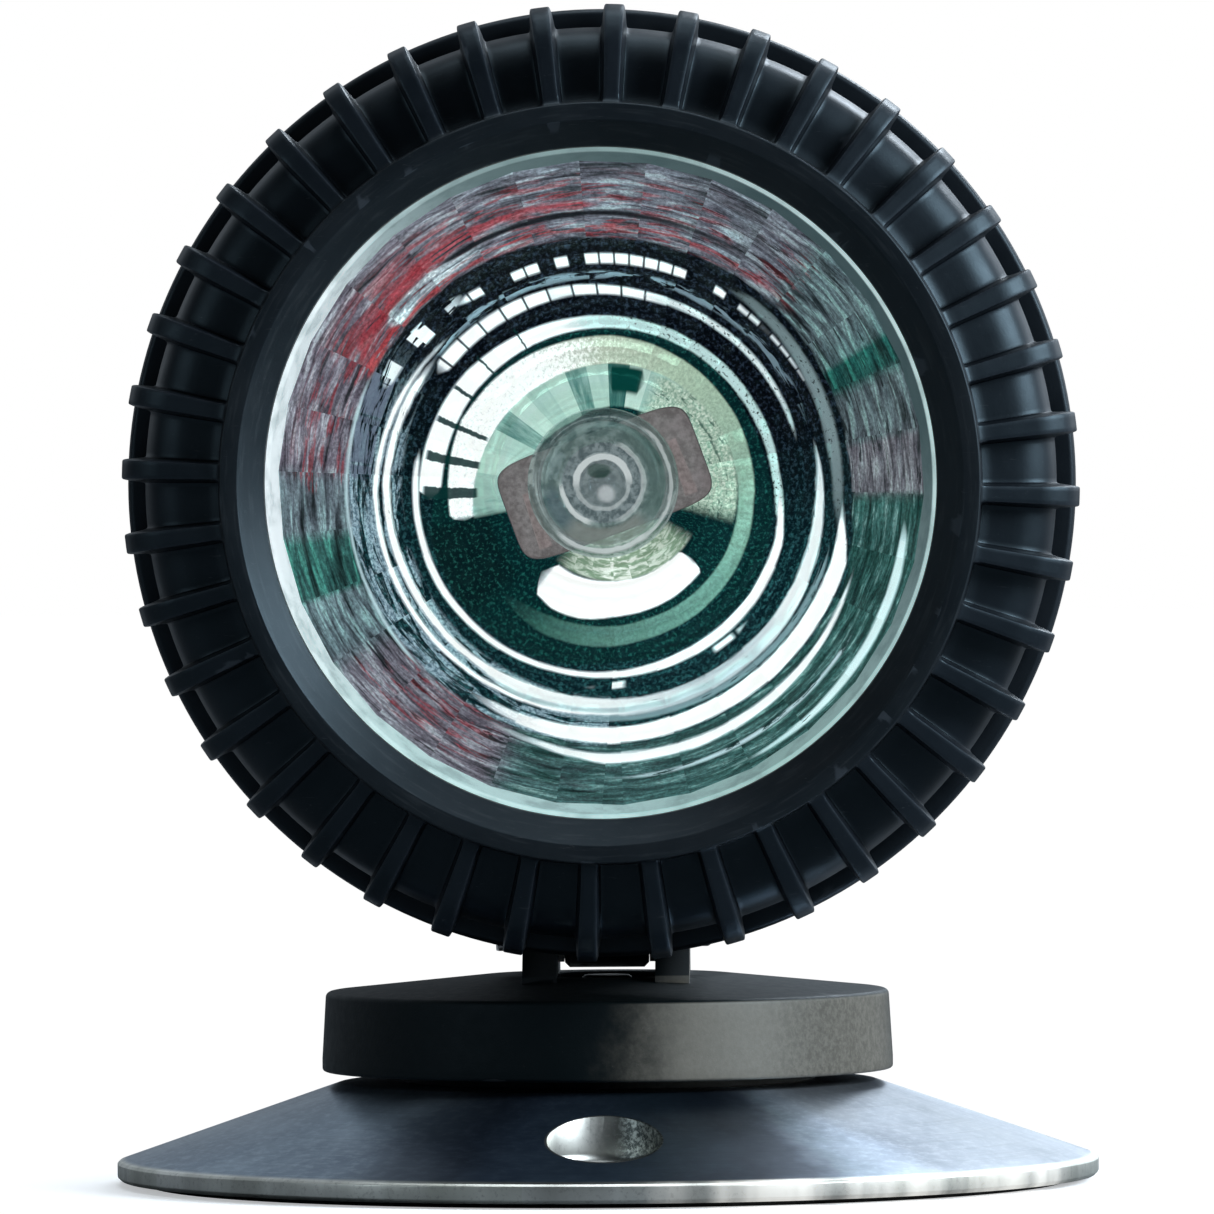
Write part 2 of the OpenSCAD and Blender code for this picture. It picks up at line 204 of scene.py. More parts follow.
def boolean(ob, cutters, op="DIFFERENCE", sharp=30.0):
    for c in cutters:
        m = ob.modifiers.new("b", "BOOLEAN")
        m.operation = op
        m.solver = "EXACT"
        m.object = c
    dg = bpy.context.evaluated_depsgraph_get()
    me = bpy.data.meshes.new_from_object(ob.evaluated_get(dg))
    ob.modifiers.clear()
    ob.data = me
    for c in cutters:
        bpy.data.objects.remove(c, do_unlink=True)
    me.polygons.foreach_set("use_smooth", [True] * len(me.polygons))
    me.set_sharp_from_angle(angle=math.radians(sharp))
    return ob


def bevel(ob, width, seg=2, angle=35.0):
    """Rounds the edges and keeps the result in the mesh."""
    m = ob.modifiers.new("bevel", "BEVEL")
    m.width = width * MM
    m.segments = seg
    m.limit_method = "ANGLE"
    m.angle_limit = math.radians(angle)
    m.use_clamp_overlap = True
    dg = bpy.context.evaluated_depsgraph_get()
    me = bpy.data.meshes.new_from_object(ob.evaluated_get(dg))
    ob.modifiers.clear()
    ob.data = me
    me.polygons.foreach_set("use_smooth", [True] * len(me.polygons))
    me.set_sharp_from_angle(angle=math.radians(40))
    return ob


def move(ob, mat):
    ob.data.transform(mat)
    ob.data.update()
    return ob


def put(ob, body, mat, slot, *nodes):
    ob.data.materials.clear()
    ob.data.materials.append(mat)
    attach(ob, body)
    if nodes:
        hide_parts(*nodes)
    return ob


# ------------------------------------------------------------------ material tools


class Mat:
    """Short hand for building a node material."""

    def __init__(self, name):
        self.mat = bpy.data.materials.new(name)
        self.mat.use_nodes = True
        self.nt = self.mat.node_tree
        self.nt.nodes.clear()
        self.out = self.nt.nodes.new("ShaderNodeOutputMaterial")
        self.p = self.nt.nodes.new("ShaderNodeBsdfPrincipled")
        self.nt.links.new(self.p.outputs["BSDF"], self.out.inputs["Surface"])
        tc = self.nt.nodes.new("ShaderNodeTexCoord")
        self.co = tc.outputs["Object"]
        s = self.nt.nodes.new("ShaderNodeSeparateXYZ")
        self.nt.links.new(self.co, s.inputs[0])
        self.x, self.y, self.z = (self.m("MULTIPLY", s.outputs[i], 1000.0) for i in range(3))

    def put(self, sock, v):
        if hasattr(v, "is_linked") or isinstance(v, bpy.types.NodeSocket):
            self.nt.links.new(v, sock)
        elif v is not None:
            if sock.type == "RGBA" and len(v) == 3:
                v = (*v, 1.0)
            sock.default_value = v

    def set(self, **kw):
        names = {"color": "Base Color", "rough": "Roughness", "metal": "Metallic", "normal": "Normal", "spec": "Specular IOR Level",
                 "coat": "Coat Weight", "coat_rough": "Coat Roughness", "ior": "IOR", "trans": "Transmission Weight", "alpha": "Alpha",
                 "aniso": "Anisotropic", "tangent": "Tangent", "stint": "Specular Tint", "sss": "Subsurface Weight", "emit": "Emission Color", "emit_s": "Emission Strength",
                 "sheen": "Sheen Weight", "sheen_rough": "Sheen Roughness", "spec_tint": "Specular Tint", "aniso_rot": "Anisotropic Rotation"}
        for k, v in kw.items():
            self.put(self.p.inputs[names[k]], v)
        return self.mat

    def m(self, op, a, b=None, c=None, clamp=False):
        n = self.nt.nodes.new("ShaderNodeMath")
        n.operation = op
        n.use_clamp = clamp
        for i, v in enumerate((a, b, c)):
            if v is not None:
                self.put(n.inputs[i], v)
        return n.outputs[0]

    def mr(self, v, a, b, c=0.0, d=1.0, smooth=True):
        n = self.nt.nodes.new("ShaderNodeMapRange")
        n.interpolation_type = "SMOOTHSTEP" if smooth else "LINEAR"
        n.clamp = True
        for i, q in enumerate((v, a, b, c, d)):
            self.put(n.inputs[i], q)
        return n.outputs[0]

    def mix(self, f, a, b, blend="MIX"):
        n = self.nt.nodes.new("ShaderNodeMix")
        n.data_type = "RGBA"
        n.blend_type = blend
        n.clamp_factor = True
        self.put(n.inputs[0], f)
        self.put(n.inputs[6], a)
        self.put(n.inputs[7], b)
        return n.outputs[2]

    def vec(self, x, y, z):
        n = self.nt.nodes.new("ShaderNodeCombineXYZ")
        for i, v in enumerate((x, y, z)):
            self.put(n.inputs[i], v)
        return n.outputs[0]

    def noise(self, scale, detail=3.0, rough=0.5, vec=None, dist=0.0):
        """scale is in repeats per mm when vec is left out."""
        n = self.nt.nodes.new("ShaderNodeTexNoise")
        n.inputs["Scale"].default_value = scale * (1000.0 if vec is None else 1.0)
        n.inputs["Detail"].default_value = detail
        n.inputs["Roughness"].default_value = rough
        n.inputs["Distortion"].default_value = dist
        self.put(n.inputs["Vector"], self.co if vec is None else vec)
        return n.outputs["Fac"]

    def white(self, vec):
        n = self.nt.nodes.new("ShaderNodeTexWhiteNoise")
        n.noise_dimensions = "3D"
        self.put(n.inputs["Vector"], vec)
        return n.outputs["Value"]

    def vor(self, scale, vec=None, feature="F1", out="Distance"):
        n = self.nt.nodes.new("ShaderNodeTexVoronoi")
        n.feature = feature
        n.inputs["Scale"].default_value = scale * (1000.0 if vec is None else 1.0)
        self.put(n.inputs["Vector"], self.co if vec is None else vec)
        return n.outputs[out]

    def ramp(self, f, stops, mode="LINEAR"):
        n = self.nt.nodes.new("ShaderNodeValToRGB")
        n.color_ramp.interpolation = mode
        e = n.color_ramp.elements
        e[0].position, e[-1].position = stops[0][0], stops[-1][0]
        e[0].color = (*stops[0][1][:3], 1.0)
        e[-1].color = (*stops[-1][1][:3], 1.0)
        for pos, col in stops[1:-1]:
            e.new(pos).color = (*col[:3], 1.0)
        self.put(n.inputs[0], f)
        return n.outputs[0]

    def bump(self, height, strength=0.3, dist=0.1, normal=None):
        """dist is in mm."""
        n = self.nt.nodes.new("ShaderNodeBump")
        n.inputs["Strength"].default_value = strength
        n.inputs["Distance"].default_value = dist * MM
        self.put(n.inputs["Height"], height)
        if normal is not None:
            self.put(n.inputs["Normal"], normal)
        return n.outputs[0]

    def attr(self, name):
        n = self.nt.nodes.new("ShaderNodeAttribute")
        n.attribute_name = name
        return n.outputs["Fac"]

    def pointy(self):
        return self.nt.nodes.new("ShaderNodeNewGeometry").outputs["Pointiness"]

    def up(self):
        s = self.nt.nodes.new("ShaderNodeSeparateXYZ")
        self.nt.links.new(self.nt.nodes.new("ShaderNodeNewGeometry").outputs["Normal"], s.inputs[0])
        return s.outputs[2]

    def polar(self, cx=0.0, cz=None):
        """Radius in mm and clockwise turn (-0.5 to 0.5, 0 at the top) round the lamp axis."""
        cz = AX / MM if cz is None else cz
        x = self.m("SUBTRACT", self.x, cx)
        z = self.m("SUBTRACT", self.z, cz)
        r = self.m("SQRT", self.m("ADD", self.m("MULTIPLY", x, x), self.m("MULTIPLY", z, z)))
        return r, self.m("DIVIDE", self.m("ARCTAN2", x, z), 2 * math.pi)


def plastic(name, base, light, rough=0.42, grain=0.12, wear=0.0, dust=0.0, bump=0.25, scale=1.0, sheen=0.0):
    """Moulded plastic: cloudy colour, fine leathery grain, rubbed edges and settled dust."""
    g = Mat(name)
    cloud = g.noise(0.12 * scale, 4, 0.6)
    fine = g.noise(3.2 * scale, 5, 0.65)
    spots = g.mr(g.noise(1.3 * scale, 6, 0.72), 0.60, 0.74)
    col = g.mix(g.mr(cloud, 0.35, 0.68), base, light)
    col = g.mix(g.m("MULTIPLY", spots, grain), col, tuple(min(1.0, c * 5 + 0.04) for c in base))
    if wear > 0:
        edge = g.mr(g.m("ADD", g.pointy(), g.m("MULTIPLY", g.m("SUBTRACT", fine, 0.5), 0.06)), 0.53, 0.60)
        col = g.mix(g.m("MULTIPLY", edge, wear), col, tuple(min(1.0, c * 4 + 0.05) for c in light))
    if dust > 0:
        d = g.m("MULTIPLY", g.mr(g.up(), 0.2, 0.95), g.mr(g.noise(0.5 * scale, 5, 0.7), 0.38, 0.66))
        col = g.mix(g.m("MULTIPLY", d, dust), col, (0.17, 0.17, 0.165))
    r = g.m("ADD", rough - 0.09, g.m("MULTIPLY", g.noise(0.6 * scale, 4, 0.6), 0.2))
    h = g.m("ADD", g.m("MULTIPLY", g.noise(5.5 * scale, 3, 0.6), 0.6), g.m("MULTIPLY", g.noise(0.9 * scale, 3), 0.5))
    g.set(color=col, rough=r, normal=g.bump(h, bump, 0.05), spec=0.36, stint=(0.66, 0.86, 1.0, 1.0), sheen=sheen)
    return g.mat


def steel(name, base=(0.6, 0.6, 0.6), rough=0.3, dull=0.5, tint=(0.45, 0.42, 0.36)):
    g = Mat(name)
    n = g.noise(0.8, 5, 0.65)
    col = g.mix(g.m("MULTIPLY", g.mr(n, 0.42, 0.7), dull), base, tint)
    g.set(color=col, metal=1.0, rough=g.m("ADD", rough - 0.08, g.m("MULTIPLY", g.noise(2.5, 4, 0.6), 0.22)),
          normal=g.bump(g.noise(6.0, 3), 0.12, 0.03))
    return g.mat


def rubber(name, base=(0.018, 0.018, 0.019), rough=0.72):
    g = Mat(name)
    col = g.mix(g.mr(g.noise(0.5, 5, 0.7), 0.4, 0.75), base, tuple(c * 2.2 + 0.012 for c in base))
    g.set(color=col, rough=g.m("ADD", rough - 0.1, g.m("MULTIPLY", g.noise(3.0, 3), 0.2)), normal=g.bump(g.noise(4.0, 5, 0.7), 0.35, 0.06))
    return g.mat


# ------------------------------------------------------------------ materials
M_HOUSING = plastic("housing_black", (0.0045, 0.006, 0.0085), (0.0085, 0.0105, 0.0135), rough=0.44, grain=0.10, wear=0.2, dust=0.06, bump=0.3)
M_GLAND = plastic("gland_black", (0.012, 0.012, 0.013), (0.02, 0.02, 0.021), rough=0.38, grain=0.06, wear=0.25, bump=0.2)
M_STEEL = steel("zinc_steel")
M_STEEL_OLD = steel("zinc_steel_dull", (0.34, 0.34, 0.33), 0.42, 0.8, (0.5, 0.5, 0.47))
M_RUBBER = rubber("seal_rubber")
M_PAD = rubber("pad_rubber", (0.02, 0.02, 0.02), 0.85)
M_CABLE = rubber("cable_rubber", (0.016, 0.016, 0.017), 0.55)


def nylon_mat(name, base, rough=0.5, sss=0.15):
    g = Mat(name)
    col = g.mix(g.mr(g.noise(0.9, 4, 0.6), 0.4, 0.7), base, tuple(c * 0.82 for c in base))
    g.set(color=col, rough=g.m("ADD", rough - 0.05, g.m("MULTIPLY", g.noise(3.0, 3), 0.12)), sss=sss, normal=g.bump(g.noise(5.0, 3), 0.1, 0.03))
    return g.mat


M_NYLON = nylon_mat("nylon", (0.72, 0.7, 0.62))
M_SILICONE = nylon_mat("silicone", (0.72, 0.74, 0.72), 0.35, 0.3)
M_CERAMIC = nylon_mat("holder_ceramic", (0.72, 0.69, 0.6), 0.6, 0.05)
M_WIRE = nylon_mat("wire_insulation", (0.34, 0.03, 0.025), 0.35, 0.0)


def disc_mat():
    """Black plastic, weathered, its right front side painted a lighter brownish grey as painted light, with a painted
    highlight band and fine pale specks.
    """
    g = Mat("disc_black_plastic")
    base = g.mix(g.mr(g.noise(0.1, 4, 0.6), 0.35, 0.65), (0.0018, 0.0042, 0.0048), (0.0036, 0.0062, 0.0068))
    # painted light: side faces at the front right are painted a lighter brownish grey as if lit from the right
    side = g.mr(g.m("ADD", g.x, g.m("MULTIPLY", g.m("SUBTRACT", g.noise(0.22, 5, 0.65), 0.5), 9.0)), -1.5, 7.0)
    frontal = g.mr(g.y, 4.0, -8.0)
    side = g.m("MULTIPLY", g.m("MULTIPLY", side, frontal), g.mr(g.up(), 0.75, 0.3))
    grey = g.mix(g.mr(g.noise(2.2, 6, 0.75), 0.36, 0.66), (0.098, 0.088, 0.070), (0.165, 0.150, 0.124))
    # painted highlight: a lighter band near x = 8 mm on the lit side
    bright = g.mr(g.m("ABSOLUTE", g.m("SUBTRACT", g.x, 8.0)), 8.0, 2.0)
    grey = g.mix(g.m("MULTIPLY", bright, 0.6), grey, (0.27, 0.25, 0.21))
    col = g.mix(g.m("MULTIPLY", side, 0.9), base, grey)
    # pale specks, painted stronger on the lit side
    specks = g.mr(g.noise(4.2, 4, 0.75), 0.645, 0.72)
    patch = g.mr(g.noise(0.35, 3, 0.6), 0.42, 0.62)
    col = g.mix(g.m("MULTIPLY", g.m("MULTIPLY", specks, patch), g.m("ADD", 0.12, g.m("MULTIPLY", side, 0.4))), col, (0.3, 0.3, 0.28))
    edge = g.mr(g.pointy(), 0.525, 0.60)
    col = g.mix(g.m("MULTIPLY", edge, 0.22), col, (0.14, 0.145, 0.15))
    d = g.m("MULTIPLY", g.mr(g.up(), 0.5, 1.0), g.mr(g.noise(0.35, 6, 0.75), 0.5, 0.75))
    col = g.mix(g.m("MULTIPLY", d, 0.10), col, (0.05, 0.055, 0.06))
    h = g.m("ADD", g.m("MULTIPLY", g.noise(4.5, 4, 0.65), 0.7), g.m("MULTIPLY", g.noise(0.8, 4), 0.5))
    g.set(color=col, rough=g.m("ADD", 0.42, g.m("MULTIPLY", g.noise(1.2, 4, 0.6), 0.22)), normal=g.bump(h, 0.35, 0.06), spec=0.22, stint=(0.66, 0.86, 1.0, 1.0))
    return g.mat


M_DISC = disc_mat()


def plate_mat():
    """Turned metal cone with a thin worn dark coat, bare at the rim and inside the screw holes; painted reflection
    wedges run round the coat, the rim carries painted reflections and a painted glow, and the first hole painted shade.
    """
    g = Mat("plate_metal")
    r = g.m("SQRT", g.m("ADD", g.m("MULTIPLY", g.x, g.x), g.m("MULTIPLY", g.y, g.y)))
    ang = g.m("ARCTAN2", g.y, g.x)
    grooves = g.noise(1.0, 2, 0.5, g.vec(g.m("MULTIPLY", r, 7.0), g.m("MULTIPLY", ang, 1.1), 0.0))
    scr = g.noise(1.0, 4, 0.7, g.vec(g.m("MULTIPLY", r, 1.6), g.m("MULTIPLY", ang, 26.0), 3.0))
    cloud = g.noise(0.09, 4, 0.6)
    coat = g.mix(g.mr(cloud, 0.35, 0.65), (0.20, 0.235, 0.29), (0.34, 0.38, 0.43))
    coat = g.mix(g.m("MULTIPLY", g.mr(scr, 0.42, 0.72), 0.5), coat, (0.5, 0.54, 0.58))
    coat = g.mix(g.m("MULTIPLY", g.mr(grooves, 0.5, 0.75), 0.25), coat, (0.10, 0.11, 0.13))
    turn = g.m("DIVIDE", g.m("ARCTAN2", g.x, g.m("MULTIPLY", g.y, -1.0)), 2 * math.pi)
    turn = g.m("ADD", turn, g.m("MULTIPLY", g.m("SUBTRACT", g.noise(0.16, 3, 0.6), 0.5), 0.035))
    # painted reflection: the coat is made lighter and darker by angle round the cone, in wedges that stand for what the
    # turned surface reflects
    painted_reflection_wedge = g.ramp(g.m("ADD", turn, 0.5), [((d + 180) / 360, v) for d, v in ((-180, (0.9, 0.9, 0.9)), (-120, (1.1, 1.1, 1.1)), (-80, (1.0, 1.06, 1.1)), (-52, (1.0, 1.14, 1.22)), (-36, (0.98, 1.10, 1.18)), (-27, (0.40, 0.47, 0.54)), (-20, (0.24, 0.30, 0.38)),
                   (-12, (0.38, 0.50, 0.64)), (-3, (0.34, 0.46, 0.58)), (8, (0.18, 0.27, 0.34)), (20, (0.11, 0.15, 0.20)), (26, (0.26, 0.30, 0.36)), (31, (1.1, 1.2, 1.26)), (37, (1.7, 1.74, 1.78)), (44, (1.3, 1.28, 1.27)), (70, (0.88, 0.87, 0.86)), (110, (0.9, 0.9, 0.9)), (180, (0.9, 0.9, 0.9)))])
    coat = g.mix(1.0, coat, painted_reflection_wedge, "MULTIPLY")
    # bare metal: the rim's edge, and the screw holes
    bare = g.mr(g.z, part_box("base_plate")[0].z / MM + 1.62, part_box("base_plate")[0].z / MM + 1.42)
    for k in range(3):
        a = math.radians(-90 + 120 * k)
        dx = g.m("SUBTRACT", g.x, 28.0 * math.cos(a))
        dy = g.m("SUBTRACT", g.y, 28.0 * math.sin(a))
        d = g.m("SQRT", g.m("ADD", g.m("MULTIPLY", dx, dx), g.m("MULTIPLY", dy, dy)))
        bare = g.m("MAXIMUM", bare, g.mr(d, 4.32, 4.16))
    # painted reflection: random yellowish green segments round the bare rim
    seg = g.white(g.vec(g.m("FLOOR", g.m("MULTIPLY", ang, 5.2)), 2.0, 5.0))
    soft = g.noise(1.0, 3, 0.5, g.vec(g.m("MULTIPLY", ang, 7.0), 1.0, 0.0))
    metal = g.mix(g.mr(soft, 0.35, 0.66), (0.62, 0.62, 0.58), (0.97, 0.97, 0.92))
    metal = g.mix(g.m("MULTIPLY", seg, 0.3), metal, (0.62, 0.66, 0.5))
    # painted glow: the bare rim's right front part emits light as a painted highlight
    painted_rim_glow = g.m("MULTIPLY", g.mr(turn, 0.008, 0.05), g.mr(turn, 0.21, 0.17))
    painted_rim_glow = g.m("MULTIPLY", painted_rim_glow, g.mr(g.z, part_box("base_plate")[0].z / MM + 1.62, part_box("base_plate")[0].z / MM + 1.45))
    grit = g.noise(2.6, 5, 0.75)
    metal = g.mix(g.m("MULTIPLY", g.mr(grit, 0.5, 0.68), 0.35), metal, (0.26, 0.25, 0.23))
    # painted shade: the first hole is painted dark on its right flank, so that only its left flank looks lit
    hole_painted_shade = g.m("MULTIPLY", g.mr(g.m("ADD", g.y, 28.0), 6.0, 5.0), g.mr(g.m("ADD", g.m("MULTIPLY", g.m("ADD", g.y, 28.0), 0.25), g.m("ADD", g.x, g.m("MULTIPLY", g.m("SUBTRACT", grit, 0.5), 3.0))), -0.4, 2.6))
    hole_painted_shade = g.m("MULTIPLY", hole_painted_shade, g.m("MULTIPLY", g.mr(r, 33.0, 32.5), g.mr(r, 22.8, 23.3)))
    metal = g.mix(g.m("MULTIPLY", hole_painted_shade, g.mr(g.m("ABSOLUTE", g.x), 4.6, 4.3)), metal, g.mix(g.mr(grit, 0.42, 0.62), (0.05, 0.06, 0.06), (0.32, 0.35, 0.33)))
    col = g.mix(bare, coat, metal)
    rough = g.m("ADD", g.m("MULTIPLY", bare, 0.02), g.m("ADD", 0.27, g.m("MULTIPLY", g.noise(0.5, 4, 0.6), 0.12)))
    tan = g.nt.nodes.new("ShaderNodeTangent")
    tan.direction_type = "RADIAL"
    tan.axis = "Z"
    h = g.m("ADD", g.m("MULTIPLY", grooves, 0.5), g.m("MULTIPLY", grit, g.m("MULTIPLY", bare, 0.6)))
    g.set(color=col, emit=(1.0, 0.98, 0.93), emit_s=g.m("MULTIPLY", painted_rim_glow, g.mr(soft, 0.35, 0.62, 0.10, 0.62)), metal=g.m("SUBTRACT", 1.0, g.m("MULTIPLY", g.m("SUBTRACT", 1.0, bare), 0.12)), rough=rough, aniso=0.55, tangent=tan.outputs[0],
          normal=g.bump(h, 0.22, 0.03))
    return g.mat


M_PLATE = plate_mat()


def lin(r, g, b):
    """A colour given on the usual 0 to 255 scale, as the linear values the materials use."""
    return tuple(v / 255 / 12.92 if v <= 10 else ((v / 255 + 0.055) / 1.055) ** 2.4 for v in (r, g, b))


DIST = 0.885       # camera to the front face, in metres
CAM_X = 10.0       # the camera's place to the right of the lamp axis, in mm
PX = 0.0715        # one unit of the front plane, in mm


def reflector_mat():
    """Coloured mirror coat on small facets, broken up by painted reflections: the bands and flecks that such a bowl
    shows are painted into its colour, which also glows.
    """
    g = Mat("dichroic_mirror")
    # place on the front plane as seen from the front, then round a centre that drifts with depth
    k = g.m("DIVIDE", DIST / MM, g.m("ADD", g.m("SUBTRACT", g.y, FY / MM), DIST / MM))
    X = g.m("DIVIDE", g.m("ADD", g.m("MULTIPLY", g.x, k), g.m("MULTIPLY", g.m("SUBTRACT", 1.0, k), CAM_X)), PX)
    Z = g.m("DIVIDE", g.m("MULTIPLY", g.m("SUBTRACT", g.z, AX / MM), k), PX)

    def shifted(s):
        x = g.m("SUBTRACT", X, g.m("MULTIPLY", s, 13.0))
        z = g.m("ADD", Z, g.m("MULTIPLY", s, 8.0))
        return g.m("SQRT", g.m("ADD", g.m("MULTIPLY", x, x), g.m("MULTIPLY", z, z))), x, z

    R, _, _ = shifted(0.0)
    for _ in range(2):
        R, x, z = shifted(g.mr(R, 324.0, 170.0, 0.0, 1.0, smooth=False))
    A = g.m("DIVIDE", g.m("ARCTAN2", x, z), 2 * math.pi)
    D = g.m("MULTIPLY", A, 360.0)
    T = g.m("ADD", A, 0.5)
    row, col_id = g.attr("facet_row"), g.attr("facet_col")
    rnd = g.white(g.vec(row, col_id, 1.0))
    colr = g.white(g.vec(col_id, 3.0, 1.0))

    def both(*ms):
        o = ms[0]
        for q in ms[1:]:
            o = g.m("MULTIPLY", o, q)
        return o

    def any_(*ms):
        o = ms[0]
        for q in ms[1:]:
            o = g.m("MAXIMUM", o, q)
        return o

    # painted reflection streaks, drawn like wood grain: they wander with the turn and jump from one column of facets to
    # the next
    def grain(fr, fa, wander, seed, jump, rows=0.0, detail=5, rough=0.62):
        w = g.noise(1.0, 2, 0.5, g.vec(g.m("ADD", g.m("MULTIPLY", A, 15.0), g.m("MULTIPLY", colr, 7.0 * jump)), g.m("MULTIPLY", R, 0.02), seed))
        q = g.m("ADD", g.m("MULTIPLY", R, fr), g.m("MULTIPLY", w, wander))
        if rows:
            q = g.m("ADD", q, both(rnd, rows, g.mr(R, 300, 284)))
        return g.noise(1.0, detail, rough, g.vec(g.m("ADD", g.m("MULTIPLY", A, fa), g.m("MULTIPLY", colr, 31.0 * jump)), q, seed + 5.0), 0.5)

    st = grain(0.150, 24.0, 2.0, 0.0, 1.0, rows=0.7)
    st2 = grain(0.22, 34.0, 1.6, 11.0, 1.0, rows=0.5)
    st3 = grain(0.16, 26.0, 1.5, 23.0, 0.15, detail=6, rough=0.7)
    fine = g.noise(1.0, 4, 0.7, g.vec(g.m("MULTIPLY", A, 420.0), g.m("MULTIPLY", R, 0.38), 3.0))
    speck = g.noise(1.0, 5, 0.75, g.vec(g.m("MULTIPLY", A, 260.0), g.m("MULTIPLY", R, 0.24), 8.0))
    broad = g.noise(1.0, 3, 0.55, g.vec(g.m("MULTIPLY", A, 18.0), g.m("MULTIPLY", R, 0.035), 4.0))

    def tone(stops):
        return g.ramp(T, [((d + 180) / 360, v) for d, v in stops])

    def level(stops):
        return tone([(d, (v, v, v)) for d, v in stops])

    def step(v, at, soft=0.03):
        return g.mr(v, at - soft, at + soft)

    def arc(pts, soft=1.6, jit=0.0, keep=0.0, by=None, cells=0, gap=0.10, drop=0.0):
        """A band along (degrees clockwise from the top, radius, half width, strength) points."""
        n = g.ramp(T, [((d + 180) / 360, (r / 400, w / 40, s)) for d, r, w, s in pts])
        sep = g.nt.nodes.new("ShaderNodeSeparateColor")
        g.put(sep.inputs[0], n)
        c, w, s = g.m("MULTIPLY", sep.outputs[0], 400.0), g.m("MULTIPLY", sep.outputs[1], 40.0), sep.outputs[2]
        q = R if jit == 0 else g.m("ADD", R, g.m("MULTIPLY", g.m("SUBTRACT", st3, 0.5), jit))
        d = g.m("ABSOLUTE", g.m("SUBTRACT", q, c))
        m = both(g.mr(d, g.m("ADD", w, soft), g.m("SUBTRACT", w, soft)), s)
        if keep > 0:
            m = both(m, step(st3 if by is None else by, keep, 0.025))
        if cells:
            kk = g.m("ADD", g.m("MULTIPLY", A, float(cells)), 200.5)
            f = g.m("ABSOLUTE", g.m("SUBTRACT", g.m("FRACT", kk), 0.5))
            m = both(m, g.mr(f, 0.5, 0.5 - gap))
            if drop > 0:
                m = both(m, step(g.white(g.vec(g.m("FLOOR", kk), float(cells), 3.0)), drop, 0.05))
        return m

    # ---- outer band: painted reflections in grey and mauve streaks, tinted by where they stand
    grey = g.ramp(st, [(0.30, lin(12, 14, 18)), (0.39, lin(58, 57, 62)), (0.47, lin(100, 96, 103)), (0.56, lin(134, 134, 139)), (0.67, lin(205, 216, 214))])
    tint = tone([(-180, (0.62, 0.98, 0.95)), (-163, (0.66, 0.98, 0.94)), (-158, (1.0, 0.88, 0.92)), (-126, (0.98, 0.90, 0.94)), (-122, (0.74, 1.05, 1.0)),
                 (-112.5, (0.8, 1.1, 1.05)), (-111, (0.16, 0.62, 0.48)), (-100.5, (0.2, 0.66, 0.52)), (-99, (0.85, 1.08, 1.05)), (-89, (0.85, 1.0, 1.0)), (-86, (1.08, 0.92, 0.98)),
                 (-40, (1.06, 0.92, 0.98)), (-10, (0.94, 0.94, 1.0)), (40, (0.92, 0.94, 0.98)), (45, (0.62, 0.86, 0.82)), (56, (0.72, 0.98, 0.92)), (62, (0.6, 1.0, 0.9)),
                 (63, (0.08, 0.5, 0.38)), (68, (0.1, 0.52, 0.4)), (69.5, (0.6, 0.78, 0.74)), (80, (0.66, 0.82, 0.78)), (81.5, (1.0, 0.92, 0.92)), (91.5, (0.9, 0.88, 0.86)),
                 (93, (0.26, 0.42, 0.36)), (112, (0.3, 0.62, 0.56)), (150, (0.42, 0.84, 0.8)), (180, (0.58, 0.96, 0.93))])
    c = g.mix(1.0, grey, tint, "MULTIPLY")
    red = g.mix(step(st2, 0.5, 0.1), lin(104, 34, 42), lin(172, 50, 58))
    rl = level([(-180, 0.0), (-158, 0.0), (-150, 0.42), (-128, 0.40), (-124, 0.0), (-92, 0.0), (-86, 0.40), (-66, 0.5), (-63, 0.9), (-41, 0.9), (-38, 0.5), (-10, 0.42), (20, 0.30), (42, 0.18), (48, 0.0), (180, 0.0)])
    rm = both(step(g.m("ADD", st2, g.m("MULTIPLY", rl, 0.17)), 0.615, 0.05), g.mr(rl, 0.02, 0.1), g.mr(R, 318, 300), g.mr(g.m("ADD", broad, g.m("MULTIPLY", rl, 0.12)), 0.42, 0.52))
    c = g.mix(g.m("MULTIPLY", rm, 0.58), c, red)
    c = g.mix(arc([(-180, 283, 0, 0), (-64, 268, 0, 0), (-60, 278, 6, 0.8), (-40, 284, 6, 0.85), (-20, 285, 3, 0.8), (-4, 282, 3, 0.8), (0, 282, 0, 0), (180, 283, 0, 0)], 3, 12, 0.44, st), c, lin(164, 46, 56))
    c = g.mix(arc([(-180, 262, 0, 0), (-66, 262, 0, 0), (-63, 262, 5, 0.9), (-45, 262, 4, 0.9), (-30, 261, 2, 0.7), (40, 257, 2, 0.6), (50, 256, 0, 0), (180, 262, 0, 0)], 3, 12, 0.48, st2), c, lin(178, 66, 70))
    # painted pale reflection checks among the red
    pc = g.mix(step(st, 0.5, 0.10), lin(128, 136, 142), lin(226, 236, 238))
    c = g.mix(arc([(-180, 268, 0, 0), (-54, 268, 0, 0), (-51.5, 268, 6.5, 0.95), (-41, 269, 6.5, 0.9), (-36, 268, 5, 0.8), (-27.5, 268, 4, 0.5), (-26, 268, 0, 0), (180, 268, 0, 0)], 2, 10, 0.36, st), c, pc)
